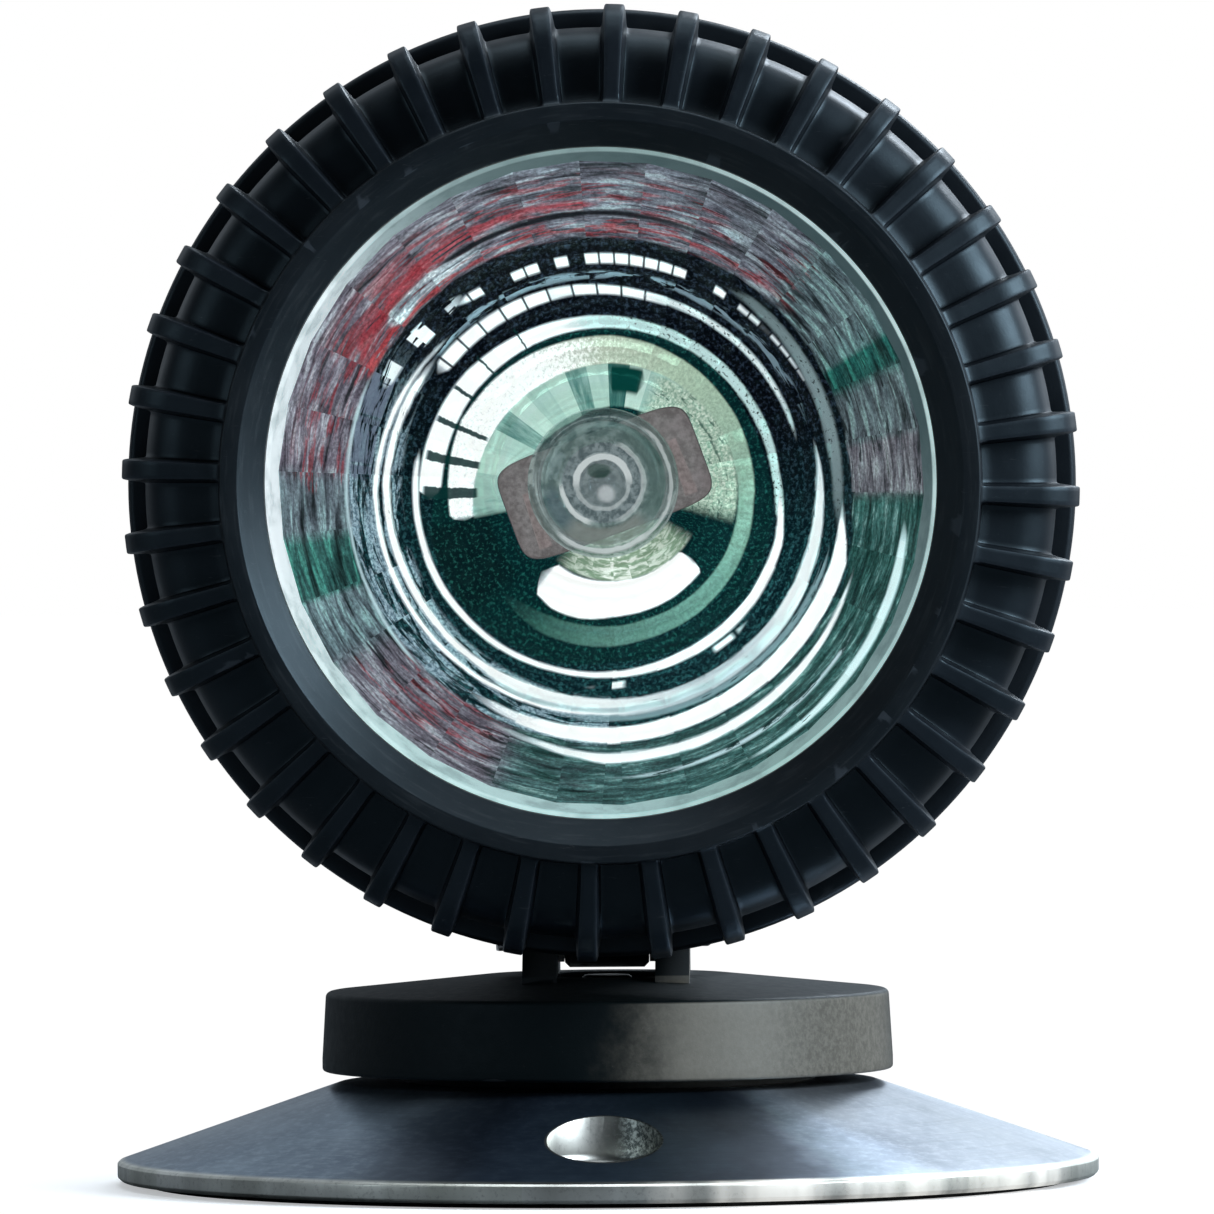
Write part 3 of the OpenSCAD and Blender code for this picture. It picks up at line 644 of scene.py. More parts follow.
    # painted dark lines of reflection through the streaks
    dk = any_(step(st2, 0.605, 0.018), both(step(st, 0.62, 0.015), 0.5))
    c = g.mix(both(dk, level([(-180, 0.3), (-158, 0.85), (-124, 0.85), (-110, 0.4), (-60, 0.35), (-20, 0.4), (0, 0.6), (40, 0.8), (92, 0.85), (130, 0.5), (180, 0.3)])), c, lin(14, 18, 22))
    c = g.mix(arc([(-180, 275, 0, 0), (-38, 275, 0, 0), (-34, 274, 2.2, 1), (0, 273, 2.4, 1), (24, 270, 2, 0.8), (36, 268, 0, 0), (180, 275, 0, 0)], 1.5, 6), c, lin(22, 22, 30))
    # painted green reflection in the lower right
    gl = g.ramp(st3, [(0.34, lin(6, 26, 26)), (0.46, lin(22, 62, 56)), (0.56, lin(62, 104, 98)), (0.68, lin(150, 184, 176))])
    c = g.mix(level([(-180, 0.75), (-164, 0.7), (-158, 0), (92, 0), (94, 0.9), (150, 0.85), (180, 0.75)]), c, gl)
    c = g.mix(1.0, c, g.mr(fine, 0.32, 0.68, 0.62, 1.40), "MULTIPLY")

    # ---- middle: painted reflection, almost black with navy at the top, dark teal elsewhere
    navy = g.mix(step(speck, 0.56, 0.06), lin(4, 7, 13), lin(44, 54, 68))
    teal = g.mix(step(speck, 0.55, 0.08), lin(4, 30, 36), lin(42, 92, 94))
    mid = g.mix(level([(-180, 1), (-100, 0.75), (-80, 0.25), (-50, 0.0), (70, 0.0), (92, 0.35), (110, 0.9), (180, 1)]), navy, teal)
    edge = tone([(d, (r / 400, 0, 0)) for d, r in ((-180, 258), (-132, 256), (-65, 258), (-30, 255), (-3.6, 250), (44, 247), (80, 244), (96, 248), (110, 256), (180, 258))])
    se = g.nt.nodes.new("ShaderNodeSeparateColor")
    g.put(se.inputs[0], edge)
    inner = g.mr(g.m("SUBTRACT", g.m("ADD", R, g.m("MULTIPLY", g.m("SUBTRACT", st3, 0.5), 10.0)), g.m("MULTIPLY", se.outputs[0], 400.0)), 2.0, -2.0)
    c = g.mix(inner, c, mid)
    # painted reflections: grey wavy water-like lines on the left of the middle, and grey streaks on the right
    wl = level([(-180, 0.62), (-150, 0.8), (-92, 0.8), (-70, 0.45), (-52, 0.0), (180, 0.0)])
    c = g.mix(both(wl, inner, step(st, 0.5, 0.04), g.mr(R, 206, 212)), c, g.mix(step(fine, 0.5, 0.14), lin(96, 122, 134), lin(204, 226, 234)))
    c = g.mix(arc([(-180, 230, 0, 0), (30, 232, 0, 0), (38, 234, 4, 0.7), (60, 231, 6, 1), (79, 229, 6.5, 1), (92, 230, 5, 0.8), (104, 236, 0, 0), (180, 230, 0, 0)], 2.5, 5, 0.40, speck), c, lin(136, 150, 150))

    W, G1, G2 = lin(250, 253, 253), lin(206, 224, 226), lin(150, 178, 180)
    for col, kw, pts in (
        # painted reflections: thin lines on the left
        (G1, dict(jit=6, keep=0.38), [(-180, 258, 0, 0), (-136, 259, 0, 0), (-130, 259, 1.3, 0.9), (-70, 259, 1.5, 0.9), (-62, 258, 0, 0), (180, 258, 0, 0)]),
        (W, dict(jit=5, keep=0.30), [(-180, 226, 1.5, 0.8), (-148, 229.5, 2.2, 1), (-130, 231, 2.2, 1), (-90, 232.5, 2.2, 1), (-67, 226, 2.2, 1), (-50, 221, 1.2, 0.6), (-46, 220, 0, 0), (150, 222, 0, 0), (180, 226, 1.5, 0.8)]),
        (W, dict(jit=6, keep=0.36), [(-180, 215, 5, 0.8), (-156, 217, 6, 0.9), (-140, 218, 3.2, 0.9), (-89, 222.5, 3.4, 1), (-60, 217.5, 3.4, 1), (-52, 216, 0, 0), (120, 214, 0, 0), (180, 215, 5, 0.8)]),
        # painted reflections: first row of bright patches, left to right over the top
        (lin(112, 118, 134), dict(jit=9, keep=0.47, by=st, cells=32, gap=0.06, drop=0.12), [(-180, 246, 0, 0), (-89, 246, 0, 0), (-87, 246, 10, 0.8), (-65, 247, 11, 0.85), (-53, 246, 10, 0.8), (-51, 246, 0, 0), (180, 246, 0, 0)]),
        (lin(236, 244, 246), dict(jit=4, keep=0.45, by=st, cells=64, gap=0.06, drop=0.45), [(-180, 243, 0, 0), (-66, 243, 0, 0), (-64, 244, 6, 0.9), (-54, 244, 8, 1), (-52, 240, 9, 1), (-46, 239, 8, 1), (-40, 240, 5, 1), (-36, 240, 0, 0), (180, 243, 0, 0)]),
        (W, dict(jit=3, keep=0.30, by=speck, cells=96, gap=0.14, drop=0.20), [(-180, 233, 0, 0), (-40, 236, 0, 0), (-36, 235, 3.6, 1), (-26, 231, 4.0, 1), (2, 229.5, 5.0, 1), (12, 228, 4.4, 1), (29, 225.5, 3.6, 1), (38, 222.6, 2.4, 0.8), (55, 222.6, 1.5, 0.8), (72, 224, 0, 0), (180, 233, 0, 0)]),
        # second row
        (W, dict(jit=2, cells=52, gap=0.09, drop=0.08), [(-180, 207, 0, 0), (-56, 207, 0, 0), (-53, 206.8, 6.8, 1), (-26, 204.3, 6.0, 1), (-12, 202.6, 5.0, 1), (0, 199.5, 4.2, 1), (12, 196.5, 4.0, 0.9), (24, 195, 3.0, 0.7), (30, 194, 0, 0), (180, 207, 0, 0)]),
        (lin(150, 170, 180), dict(jit=9, keep=0.50, by=st), [(-180, 217, 0, 0), (-54, 217, 0, 0), (-50, 220, 5, 0.9), (-30, 218, 4, 0.8), (0, 214, 3, 0.7), (30, 210, 4, 0.8), (60, 208, 4, 0.6), (75, 208, 0, 0), (180, 217, 0, 0)]),
        (lin(226, 240, 238), dict(jit=3, keep=0.42, by=speck), [(-180, 195, 0, 0), (8, 198, 0, 0), (14, 196.5, 3, 1), (36, 194, 3, 1), (60, 192.6, 2.6, 1), (70, 192, 2, 0.8), (76, 192, 0, 0), (180, 195, 0, 0)]),
    ):
        c = g.mix(arc(pts, **kw), c, col)

    # ---- painted reflections: long arcs in the lower right and at the bottom
    for col, kw, pts in (
        (lin(222, 250, 246), dict(jit=5, keep=0.36), [(-180, 312, 0, 0), (97, 305, 0, 0), (101, 307, 4, 1), (108, 309, 5.4, 1), (122, 311.5, 4.6, 1), (139, 312.6, 3.2, 1), (149, 313, 1.4, 0.8), (153, 313, 0, 0), (180, 312, 0, 0)]),
        (G1, dict(jit=4, keep=0.45), [(-180, 294, 0, 0), (120, 290, 0, 0), (126, 291, 1.7, 1), (151, 293, 2.0, 1), (172, 294, 1.6, 0.8), (180, 294, 0, 0)]),
        (lin(240, 252, 250), dict(jit=6, keep=0.33), [(-180, 273, 5.4, 1), (-166, 266, 3.0, 0.9), (-152, 262, 0, 0), (109, 262, 0, 0), (114, 263, 1.6, 0.9), (125, 266, 3.2, 1), (140, 269.5, 5, 1), (156, 272, 5.5, 1), (180, 273, 5.4, 1)]),
        (W, dict(jit=7, keep=0.30), [(-180, 248.5, 8.4, 1), (-165, 248, 7, 0.9), (-152, 246, 4, 0.7), (-145, 246, 0, 0), (93, 236, 0, 0), (99, 237, 2.5, 1), (108, 244, 8.4, 1), (132, 244, 9.4, 1), (156, 245.5, 8.6, 1), (180, 248.5, 8.4, 1)]),
        (G2, dict(jit=6, keep=0.40), [(-180, 231, 3, 0.8), (-160, 231, 0, 0), (104, 228, 0, 0), (110, 229, 3, 0.9), (150, 230, 3, 0.9), (180, 231, 3, 0.8)]),
        (lin(232, 244, 244), dict(jit=7, keep=0.34), [(-180, 220, 8.5, 0.72), (-151, 220, 6, 0.6), (-140, 220, 0, 0), (76, 210, 0, 0), (82, 210.5, 2, 0.9), (96, 210, 5.5, 1), (122, 214.5, 8.4, 1), (132, 216, 8.6, 0.9), (156, 218, 8.8, 0.72), (180, 220, 8.5, 0.72)]),
        (lin(236, 250, 248), dict(jit=3, cells=40, gap=0.2, drop=0.35), [(-180, 196, 3.5, 1), (-172, 200, 0, 0), (134, 189, 0, 0), (140, 190, 3.2, 1), (160, 191, 3.4, 1), (180, 196, 3.5, 1)]),
        # the wide line that runs right round
        (W, dict(jit=3, keep=0.22), [(-180, 184.5, 3.4, 1), (-165, 187.7, 2.8, 1), (-144, 192.3, 2.8, 1), (-120, 195.5, 3.2, 1), (-88, 195.6, 2.6, 1), (-81, 195.4, 2, 0.9), (-78, 195, 0, 0), (176, 184, 0, 0), (180, 184.5, 3.4, 1)]),
        (W, dict(jit=2), [(-180, 182, 0, 0), (-92, 182, 0, 0), (-90.5, 182, 10.5, 1), (-53, 178.6, 9.2, 1), (-31, 174, 7.4, 1), (-12, 170.6, 6.4, 0.85), (4, 168, 5.6, 0.5), (12, 167, 0, 0), (180, 182, 0, 0)]),
        (lin(214, 240, 232), dict(jit=4, keep=0.42, by=speck), [(-180, 168, 0, 0), (-20, 172, 0, 0), (-8, 170, 5.5, 0.9), (12, 166.8, 5.6, 1), (36, 163.6, 5.4, 1), (60, 162.3, 4.6, 1), (84, 163.6, 4.0, 1), (98, 168, 3.8, 1), (104, 172, 0, 0), (180, 168, 0, 0)]),
        (W, dict(jit=4, keep=0.34), [(-180, 184.5, 0, 0), (90, 166, 0, 0), (98, 169, 3.0, 1), (108, 174, 4.6, 1), (122, 175.6, 5.6, 1), (140, 178, 5.6, 1), (156, 180, 5.0, 1), (172, 183, 4, 1), (180, 184.5, 3.4, 1)]),
    ):
        c = g.mix(arc(pts, **kw), c, col)

    # ---- painted reflections: the crescent round the throat, and the dark ring outside it
    dark = g.mix(step(speck, 0.57, 0.07), lin(5, 36, 38), lin(30, 92, 84))
    c = g.mix(arc([(-180, 163, 8.5, 1), (-160, 168, 14, 1), (-130, 165, 22, 1), (-100, 160, 24, 1), (-92, 166, 12, 1), (-87.6, 167, 3, 1), (-53, 164.5, 3, 1), (-12, 160, 3.5, 1), (14, 157, 4.5, 1), (36, 153.5, 5.5, 1),
                   (60, 148, 6, 1), (84, 149.5, 7, 1), (108, 155, 9, 1), (132, 160, 8.5, 1), (156, 162.5, 8.5, 1), (180, 163, 8.5, 1)], 1.8, 3), c, dark)
    c = g.mix(both(g.mr(R, 153, 149), g.mr(R, 60, 70)), c, dark)
    pale = tone([(-180, lin(96, 134, 122)), (-150, lin(62, 104, 94)), (-120, lin(40, 80, 74)), (-100, lin(240, 246, 242)), (-98, lin(252, 253, 251)), (-34, lin(252, 253, 250)), (-22, lin(240, 240, 226)), (-4, lin(214, 218, 192)),
                 (30, lin(196, 214, 184)), (60, lin(182, 206, 178)), (100, lin(150, 188, 166)), (130, lin(120, 162, 146)), (160, lin(104, 144, 130)), (180, lin(96, 134, 122))])
    pale = g.mix(1.0, pale, g.mr(speck, 0.34, 0.66, 0.78, 1.18), "MULTIPLY")
    c = g.mix(arc([(-180, 145.7, 10, 1), (-165.6, 148, 10, 1), (-153.6, 149.5, 9.5, 0.9), (-141, 150, 6, 0.3), (-130, 150, 0, 0), (-100.6, 150.5, 0, 0), (-99.6, 150.7, 14, 1), (-88, 150.5, 14.5, 1), (-65, 150, 17, 1), (-53, 147, 17, 1),
                   (-36, 144, 16.6, 1), (-19, 141.5, 15.4, 1), (0, 141, 13.8, 1), (24, 137, 12.4, 1), (48, 133.5, 11, 1), (72, 132.5, 9, 1), (96, 133.5, 7.6, 1), (120, 136.6, 8, 1), (144, 139.5, 8.8, 1), (168, 142.3, 9.4, 1), (180, 145.7, 10, 1)], 1.5, 2.5), c, pale)
    # painted reflection: the left end of the ring, near black with green flecks
    c = g.mix(both(level([(-180, 0), (-134, 0), (-128, 1), (-102, 1), (-100, 0), (180, 0)]), g.mr(R, 190, 184), g.mr(R, 124, 130)), c, g.mix(step(speck, 0.58, 0.05), lin(6, 30, 32), lin(36, 92, 84)))

    # ---- inside the crescent, painted reflections: a fan of green panels, yellow-green on the right, dark teal at the lower right
    kk = g.m("ADD", g.m("MULTIPLY", A, 36.0), 50.2)
    pan = g.white(g.vec(g.m("FLOOR", kk), 5.0, 2.0))
    pan2 = g.noise(1.0, 3, 0.6, g.vec(g.m("MULTIPLY", A, 130.0), g.m("MULTIPLY", R, 0.03), 2.0))
    fan = g.ramp(g.m("ADD", g.m("MULTIPLY", pan, 0.66), g.m("MULTIPLY", pan2, 0.34)), [(0.12, lin(30, 88, 82)), (0.26, lin(92, 138, 126)), (0.38, lin(168, 200, 184)), (0.6, lin(196, 224, 204)), (0.85, lin(224, 240, 222))])
    fan = g.mix(arc([(-180, 110, 0, 0), (-2, 112, 0, 0), (0, 112, 13, 1), (14, 112, 13, 1), (17, 112, 0, 0), (180, 110, 0, 0)], 3), fan, lin(6, 66, 58))
    c = g.mix(both(level([(-180, 0), (-100.5, 0), (-99.5, 1), (30, 1), (40, 0), (180, 0)]), arc([(-180, 110, 20, 1), (-99, 118, 24, 1), (-65, 110, 23, 1), (-30, 104, 24, 1), (0, 106, 21, 1), (40, 104, 20, 1), (180, 110, 20, 1)], 1.5, 2)), c, fan)
    yel = g.mix(step(speck, 0.5, 0.12), lin(142, 172, 148), lin(222, 234, 208))
    yel = g.mix(g.m("MULTIPLY", step(st2, 0.60, 0.03), 0.7), yel, lin(30, 78, 66))
    c = g.mix(both(level([(-180, 0), (18, 0), (26, 1), (98, 1), (106, 0), (180, 0)]), g.mr(R, 126, 122)), c, yel)
    # painted reflection: a white pool below the lamp
    c = g.mix(arc([(-180, 108, 18, 1), (-165, 112, 20, 1), (-152, 112.5, 20.5, 1), (-143, 110, 18, 1), (-138, 108, 0, 0), (131, 104, 0, 0), (132.5, 104, 15, 1), (144, 105, 16, 1), (180, 108, 18, 1)], 1.5, 3), c, lin(254, 254, 252))
    low = g.mix(step(st2, 0.5, 0.08), lin(150, 172, 140), lin(232, 238, 214))
    c = g.mix(both(level([(-180, 1), (-150, 0.8), (-140, 0), (118, 0), (128, 0.8), (180, 1)]), g.mr(R, 92, 88)), c, low)
    # painted reflection: dark bars across the white on the left
    for d, w in ((-90.5, 1.9), (-79, 1.4), (-67.4, 0.85), (-56.3, 0.55), (-45, 0.35), (-31, 0.28)):
        q = g.m("ABSOLUTE", g.m("SUBTRACT", g.m("ADD", D, g.m("MULTIPLY", g.m("SUBTRACT", st3, 0.5), 1.6)), d))
        c = g.mix(both(g.mr(q, w + 0.25, w - 0.2), g.mr(R, 134 if w > 0.6 else 163, 138 if w > 0.6 else 167), g.mr(R, 190, 186), 0.95), c, lin(10, 50, 48))

    rough = g.m("ADD", 0.06, g.m("MULTIPLY", g.noise(1.6, 4, 0.6), 0.08))
    c = g.mix(1.0, c, (0.94, 0.985, 1.05), "MULTIPLY")
    # painted glow: the painted reflections emit light, the pale ones more strongly
    se = g.nt.nodes.new("ShaderNodeSeparateColor")
    g.put(se.inputs[0], c)
    ec = g.mix(g.mr(se.outputs[0], 0.60, 0.88), c, (1.34, 1.32, 1.27))
    g.set(color=c, metal=0.9, rough=rough, normal=g.bump(g.noise(1.2, 3), 0.06, 0.05), spec=0.4, emit=ec, emit_s=REFL_PAINTED_GLOW)
    return g.mat


REFL_PAINTED_GLOW = 0.72
M_REFL = reflector_mat()


def clear_glass(name, tint=(0.975, 0.997, 0.992), base_refl=0.05, edge_refl=0.5, rough=0.02, smudge=0.02):
    """Clear glass: almost all light goes straight through, with a soft reflection that grows at a slant."""
    g = Mat(name)
    lw = g.nt.nodes.new("ShaderNodeLayerWeight")
    lw.inputs[0].default_value = 0.35
    tr = g.nt.nodes.new("ShaderNodeBsdfTransparent")
    tr.inputs[0].default_value = (*tint, 1.0)
    gl = g.nt.nodes.new("ShaderNodeBsdfGlossy")
    gl.inputs["Roughness"].default_value = rough
    gl.inputs["Color"].default_value = (0.95, 1.0, 0.99, 1.0)
    f = g.m("ADD", base_refl, g.m("MULTIPLY", lw.outputs["Facing"], edge_refl), clamp=True)
    f = g.m("ADD", f, g.m("MULTIPLY", g.mr(g.noise(0.35, 5, 0.7), 0.55, 0.8), smudge), clamp=True)
    mx = g.nt.nodes.new("ShaderNodeMixShader")
    g.put(mx.inputs[0], f)
    g.nt.links.new(tr.outputs[0], mx.inputs[1])
    g.nt.links.new(gl.outputs[0], mx.inputs[2])
    g.nt.links.new(mx.outputs[0], g.out.inputs["Surface"])
    return g.mat


M_GLASS = clear_glass("clear_glass", tint=(0.97, 0.992, 1.0), base_refl=0.012, edge_refl=0.35)


def rim_glass_mat():
    """The lamp's moulded rim with painted light: it glows, bright nearly all round and painted dull grey on the right,
    with painted shade along its inner edge.
    """
    g = Mat("lamp_rim_glass")
    r, a = g.polar()
    n = g.noise(1.0, 4, 0.6, g.vec(g.m("MULTIPLY", a, 60.0), g.m("MULTIPLY", r, 1.2), 0.0))
    T = g.m("ADD", a, 0.5)
    # painted light: the rim's tone changes by angle round the lamp
    tone = g.ramp(T, [((d + 180) / 360, v) for d, v in ((-180, lin(206, 236, 232)), (-140, lin(214, 238, 234)), (-100, lin(250, 252, 252)), (-55, lin(246, 252, 252)), (-40, lin(196, 214, 214)),
                      (-20, lin(150, 172, 172)), (10, lin(158, 182, 180)), (30, lin(206, 226, 226)), (60, lin(214, 236, 234)), (90, lin(214, 238, 236)), (120, lin(196, 226, 224)), (150, lin(190, 226, 220)), (180, lin(206, 236, 232)))])
    col = g.mix(g.m("MULTIPLY", g.mr(n, 0.42, 0.68), 0.45), tone, lin(120, 142, 142))
    # painted shade along the inner edge, darkest on the upper right
    inner_shade = g.m("MULTIPLY", g.ramp(T, [((d + 180) / 360, (v, v, v)) for d, v in ((-180, 0.35), (-110, 0.1), (-80, 0.15), (-40, 0.4), (0, 0.75), (30, 0.95), (80, 0.95), (110, 0.75), (130, 0.5), (180, 0.35))]), g.mr(r, 23.98, 23.84))
    col = g.mix(inner_shade, col, lin(50, 70, 74))
    # painted glow: the rim emits its own colour
    g.set(color=col, rough=0.18, spec=0.6, sss=0.0, coat=0.4, emit=col, emit_s=0.74)
    return g.mat


M_RIM = rim_glass_mat()


def back_glass_mat():
    g = Mat("lamp_back_glass")
    n = g.noise(0.3, 4, 0.6)
    col = g.mix(g.mr(n, 0.35, 0.7), (0.16, 0.2, 0.23), (0.3, 0.27, 0.33))
    g.set(color=col, metal=0.55, rough=0.12, coat=1.0, coat_rough=0.05, normal=g.bump(g.noise(1.5, 3), 0.08, 0.05))
    return g.mat


M_BACK = back_glass_mat()


def quartz_mat():
    """Clear quartz with its rings, folds and greenish grey shade painted in: painted highlight rings, and painted shade
    and reflection for what its walls and the bowl behind give it; its painted front also glows.
    """
    g = Mat("quartz_glass")
    r, a = g.polar()
    ru = g.m("DIVIDE", r, 0.0733)
    wob = g.m("MULTIPLY", g.m("SUBTRACT", g.noise(0.5, 3, 0.6), 0.5), 7.0)
    rw = g.m("ADD", ru, wob)
    D = g.m("MULTIPLY", a, 360.0)

    def ring(at, w, soft=1.6):
        return g.mr(g.m("ABSOLUTE", g.m("SUBTRACT", rw, at)), w + soft, w - 0.2)

    def turn(d0, half, soft=18.0):
        d = g.m("ABSOLUTE", g.m("SUBTRACT", g.m("FRACT", g.m("ADD", g.m("SUBTRACT", a, d0 / 360.0), 1.5)), 0.5))
        return g.mr(d, (half + soft) / 360.0, half / 360.0)

    def mul(*q):
        o = q[0]
        for v in q[1:]:
            o = g.m("MULTIPLY", o, v)
        return o

    fold = g.noise(1.0, 4, 0.6, g.vec(g.m("MULTIPLY", a, 26.0), g.m("MULTIPLY", r, 1.5), 1.0))
    # painted shade and reflection: greenish grey tones by angle and radius standing for the walls and the bowl behind
    body = g.mix(g.mr(fold, 0.36, 0.66), lin(96, 124, 122), lin(178, 200, 196))
    body = g.mix(mul(turn(-122, 16), g.mr(ru, 64, 56), g.mr(ru, 42, 48), 0.75), body, lin(92, 116, 134))
    body = g.mix(mul(turn(75, 40), g.mr(ru, 66, 60), g.mr(ru, 44, 50), 0.7), body, lin(72, 108, 100))
    body = g.mix(mul(turn(175, 34), g.mr(ru, 66, 60), g.mr(ru, 42, 48), 0.8), body, lin(188, 184, 176))
    body = g.mix(mul(g.mr(ru, 42, 39), 0.6), body, g.mix(g.mr(fold, 0.4, 0.62), lin(104, 108, 118), lin(168, 172, 180)))
    body = g.mix(mul(g.mr(ru, 27, 24), 0.6), body, lin(140, 150, 152))
    # painted shade on the tip's fold and a painted highlight fleck on the tip
    cx, cz = g.m("ADD", g.x, 0.25), g.m("SUBTRACT", g.z, AX / MM + 0.85)
    spot = g.m("SQRT", g.m("ADD", mul(cx, cx, 0.7), mul(cz, cz, 1.8)))
    body = g.mix(g.mr(g.m("ADD", spot, g.m("MULTIPLY", wob, 0.05)), 0.85, 0.6), body, lin(48, 78, 72))
    cx, cz = g.m("SUBTRACT", g.x, 0.25), g.m("SUBTRACT", g.z, AX / MM - 0.75)
    spot = g.m("SQRT", g.m("ADD", mul(cx, cx), mul(cz, cz)))
    body = g.mix(g.mr(g.m("ADD", spot, g.m("MULTIPLY", wob, 0.06)), 0.8, 0.35), body, lin(236, 238, 240))
    # painted highlights: pale rings round the lamp axis
    w = g.m("MAXIMUM", mul(ring(26, 2.6), turn(-5, 75, 40)), mul(ring(26, 1.4), 0.5))
    w = g.m("MAXIMUM", w, mul(ring(41, 1.8), g.m("MAXIMUM", turn(-128, 26), g.m("MULTIPLY", turn(90, 60), 0.55))))
    w = g.m("MAXIMUM", w, mul(ring(68, 1.1), turn(100, 55), 0.8))
    w = g.m("MAXIMUM", w, mul(ring(68, 2.6), turn(180, 34), 0.95))
    w = g.m("MAXIMUM", w, mul(ring(74.5, 1.2), turn(170, 70), 0.5))
    col = g.mix(w, body, lin(240, 246, 244))
    col = g.mix(mul(ring(71.5, 1.2), 0.5), col, lin(92, 118, 108))
    lw = g.nt.nodes.new("ShaderNodeLayerWeight")
    lw.inputs[0].default_value = 0.5
    tr = g.nt.nodes.new("ShaderNodeBsdfTransparent")
    tr.inputs[0].default_value = (0.86, 0.93, 0.92, 1.0)
    gl = g.nt.nodes.new("ShaderNodeBsdfGlossy")
    gl.inputs["Roughness"].default_value = 0.06
    gl.inputs["Color"].default_value = (0.85, 0.93, 0.92, 1.0)
    # painted glow: part of the painted colour is emitted
    em = g.nt.nodes.new("ShaderNodeEmission")
    g.put(em.inputs[0], col)
    em.inputs[1].default_value = 0.8
    df = g.nt.nodes.new("ShaderNodeBsdfDiffuse")
    g.put(df.inputs[0], col)
    m0 = g.nt.nodes.new("ShaderNodeMixShader")
    m0.inputs[0].default_value = 0.75
    g.nt.links.new(df.outputs[0], m0.inputs[1])
    g.nt.links.new(em.outputs[0], m0.inputs[2])
    m1 = g.nt.nodes.new("ShaderNodeMixShader")
    g.put(m1.inputs[0], g.m("ADD", 0.03, g.m("MULTIPLY", lw.outputs["Facing"], 0.3), clamp=True))
    g.nt.links.new(tr.outputs[0], m1.inputs[1])
    g.nt.links.new(gl.outputs[0], m1.inputs[2])
    m2 = g.nt.nodes.new("ShaderNodeMixShader")
    # only the front of the capsule carries the painted highlights, shade and glow; its rear walls stay clear
    front = g.mr(g.y, FY / MM + 25.5, FY / MM + 22.0)
    fac = g.m("ADD", g.m("MULTIPLY", g.mr(ru, 80, 70), 0.28), g.m("MULTIPLY", w, 0.6))
    fac = g.m("ADD", fac, g.m("MULTIPLY", g.mr(ru, 42, 38), 0.24), clamp=True)
    g.put(m2.inputs[0], g.m("MULTIPLY", fac, front))
    g.nt.links.new(m1.outputs[0], m2.inputs[1])
    g.nt.links.new(m0.outputs[0], m2.inputs[2])
    g.nt.links.new(m2.outputs[0], g.out.inputs["Surface"])
    return g.mat


M_QUARTZ = quartz_mat()


def cement_mat():
    g = Mat("cement")
    n = g.noise(2.2, 6, 0.7)
    col = g.mix(g.mr(n, 0.35, 0.68), (0.245, 0.215, 0.21), (0.42, 0.375, 0.37))
    col = g.mix(g.m("MULTIPLY", g.mr(g.noise(0.4, 3, 0.6), 0.45, 0.65), 0.4), col, (0.46, 0.38, 0.385))
    # painted glow: the cement emits some of its own colour to stand in for light that hardly reaches it deep in the
    # bowl
    g.set(color=col, rough=0.85, normal=g.bump(n, 0.5, 0.12), emit=col, emit_s=0.42)
    return g.mat


M_CEMENT = cement_mat()


def plain_metal(name, base, rough):
    g = Mat(name)
    n = g.noise(1.4, 4, 0.65)
    g.set(color=g.mix(g.mr(n, 0.4, 0.7), base, tuple(c * 0.7 for c in base)), metal=1.0,
          rough=g.m("ADD", rough, g.m("MULTIPLY", n, 0.15)), normal=g.bump(g.noise(7.0, 3), 0.1, 0.02))
    return g.mat


M_TUNGSTEN = plain_metal("tungsten", (0.46, 0.44, 0.41), 0.3)
M_PIN = plain_metal("pin_metal", (0.66, 0.64, 0.6), 0.22)
M_BRASS = plain_metal("contact_brass", (0.72, 0.52, 0.22), 0.25)

# ------------------------------------------------------------------ screw ring
RIB_N = 40
RIB_R = 34.5


def ring_profiles():
    """The same ring seen between two ribs and along a rib's crest, point for point."""
    def part(pts, n, seg=6):
        return resample(fillet(pts, seg, closed=False), n)
    v = part([(27.28, 0.30), (27.36, 2.45, 0.35), (27.9, 2.72), (28.6, 2.86)], 9) + \
        part([(28.6, 2.86), (30.7, 3.32, 3.2), (32.35, 4.4, 2.2), (32.82, 6.6)], 12)[1:] + \
        part([(32.82, 6.6), (32.86, 11.7, 0.2), (32.5, 11.99)], 9)[1:]
    r = part([(27.28, 0.30), (27.5, 0.50), (28.0, 0.66), (28.8, 0.86)], 9) + \
        part([(28.8, 0.86), (32.25, 1.78, 1.0), (34.0, 3.0, 1.6), (34.46, 5.2)], 12)[1:] + \
        part([(34.46, 5.2), (34.47, 11.3, 0.5), (33.4, 11.92), (32.5, 11.99)], 9)[1:]
    return v, r


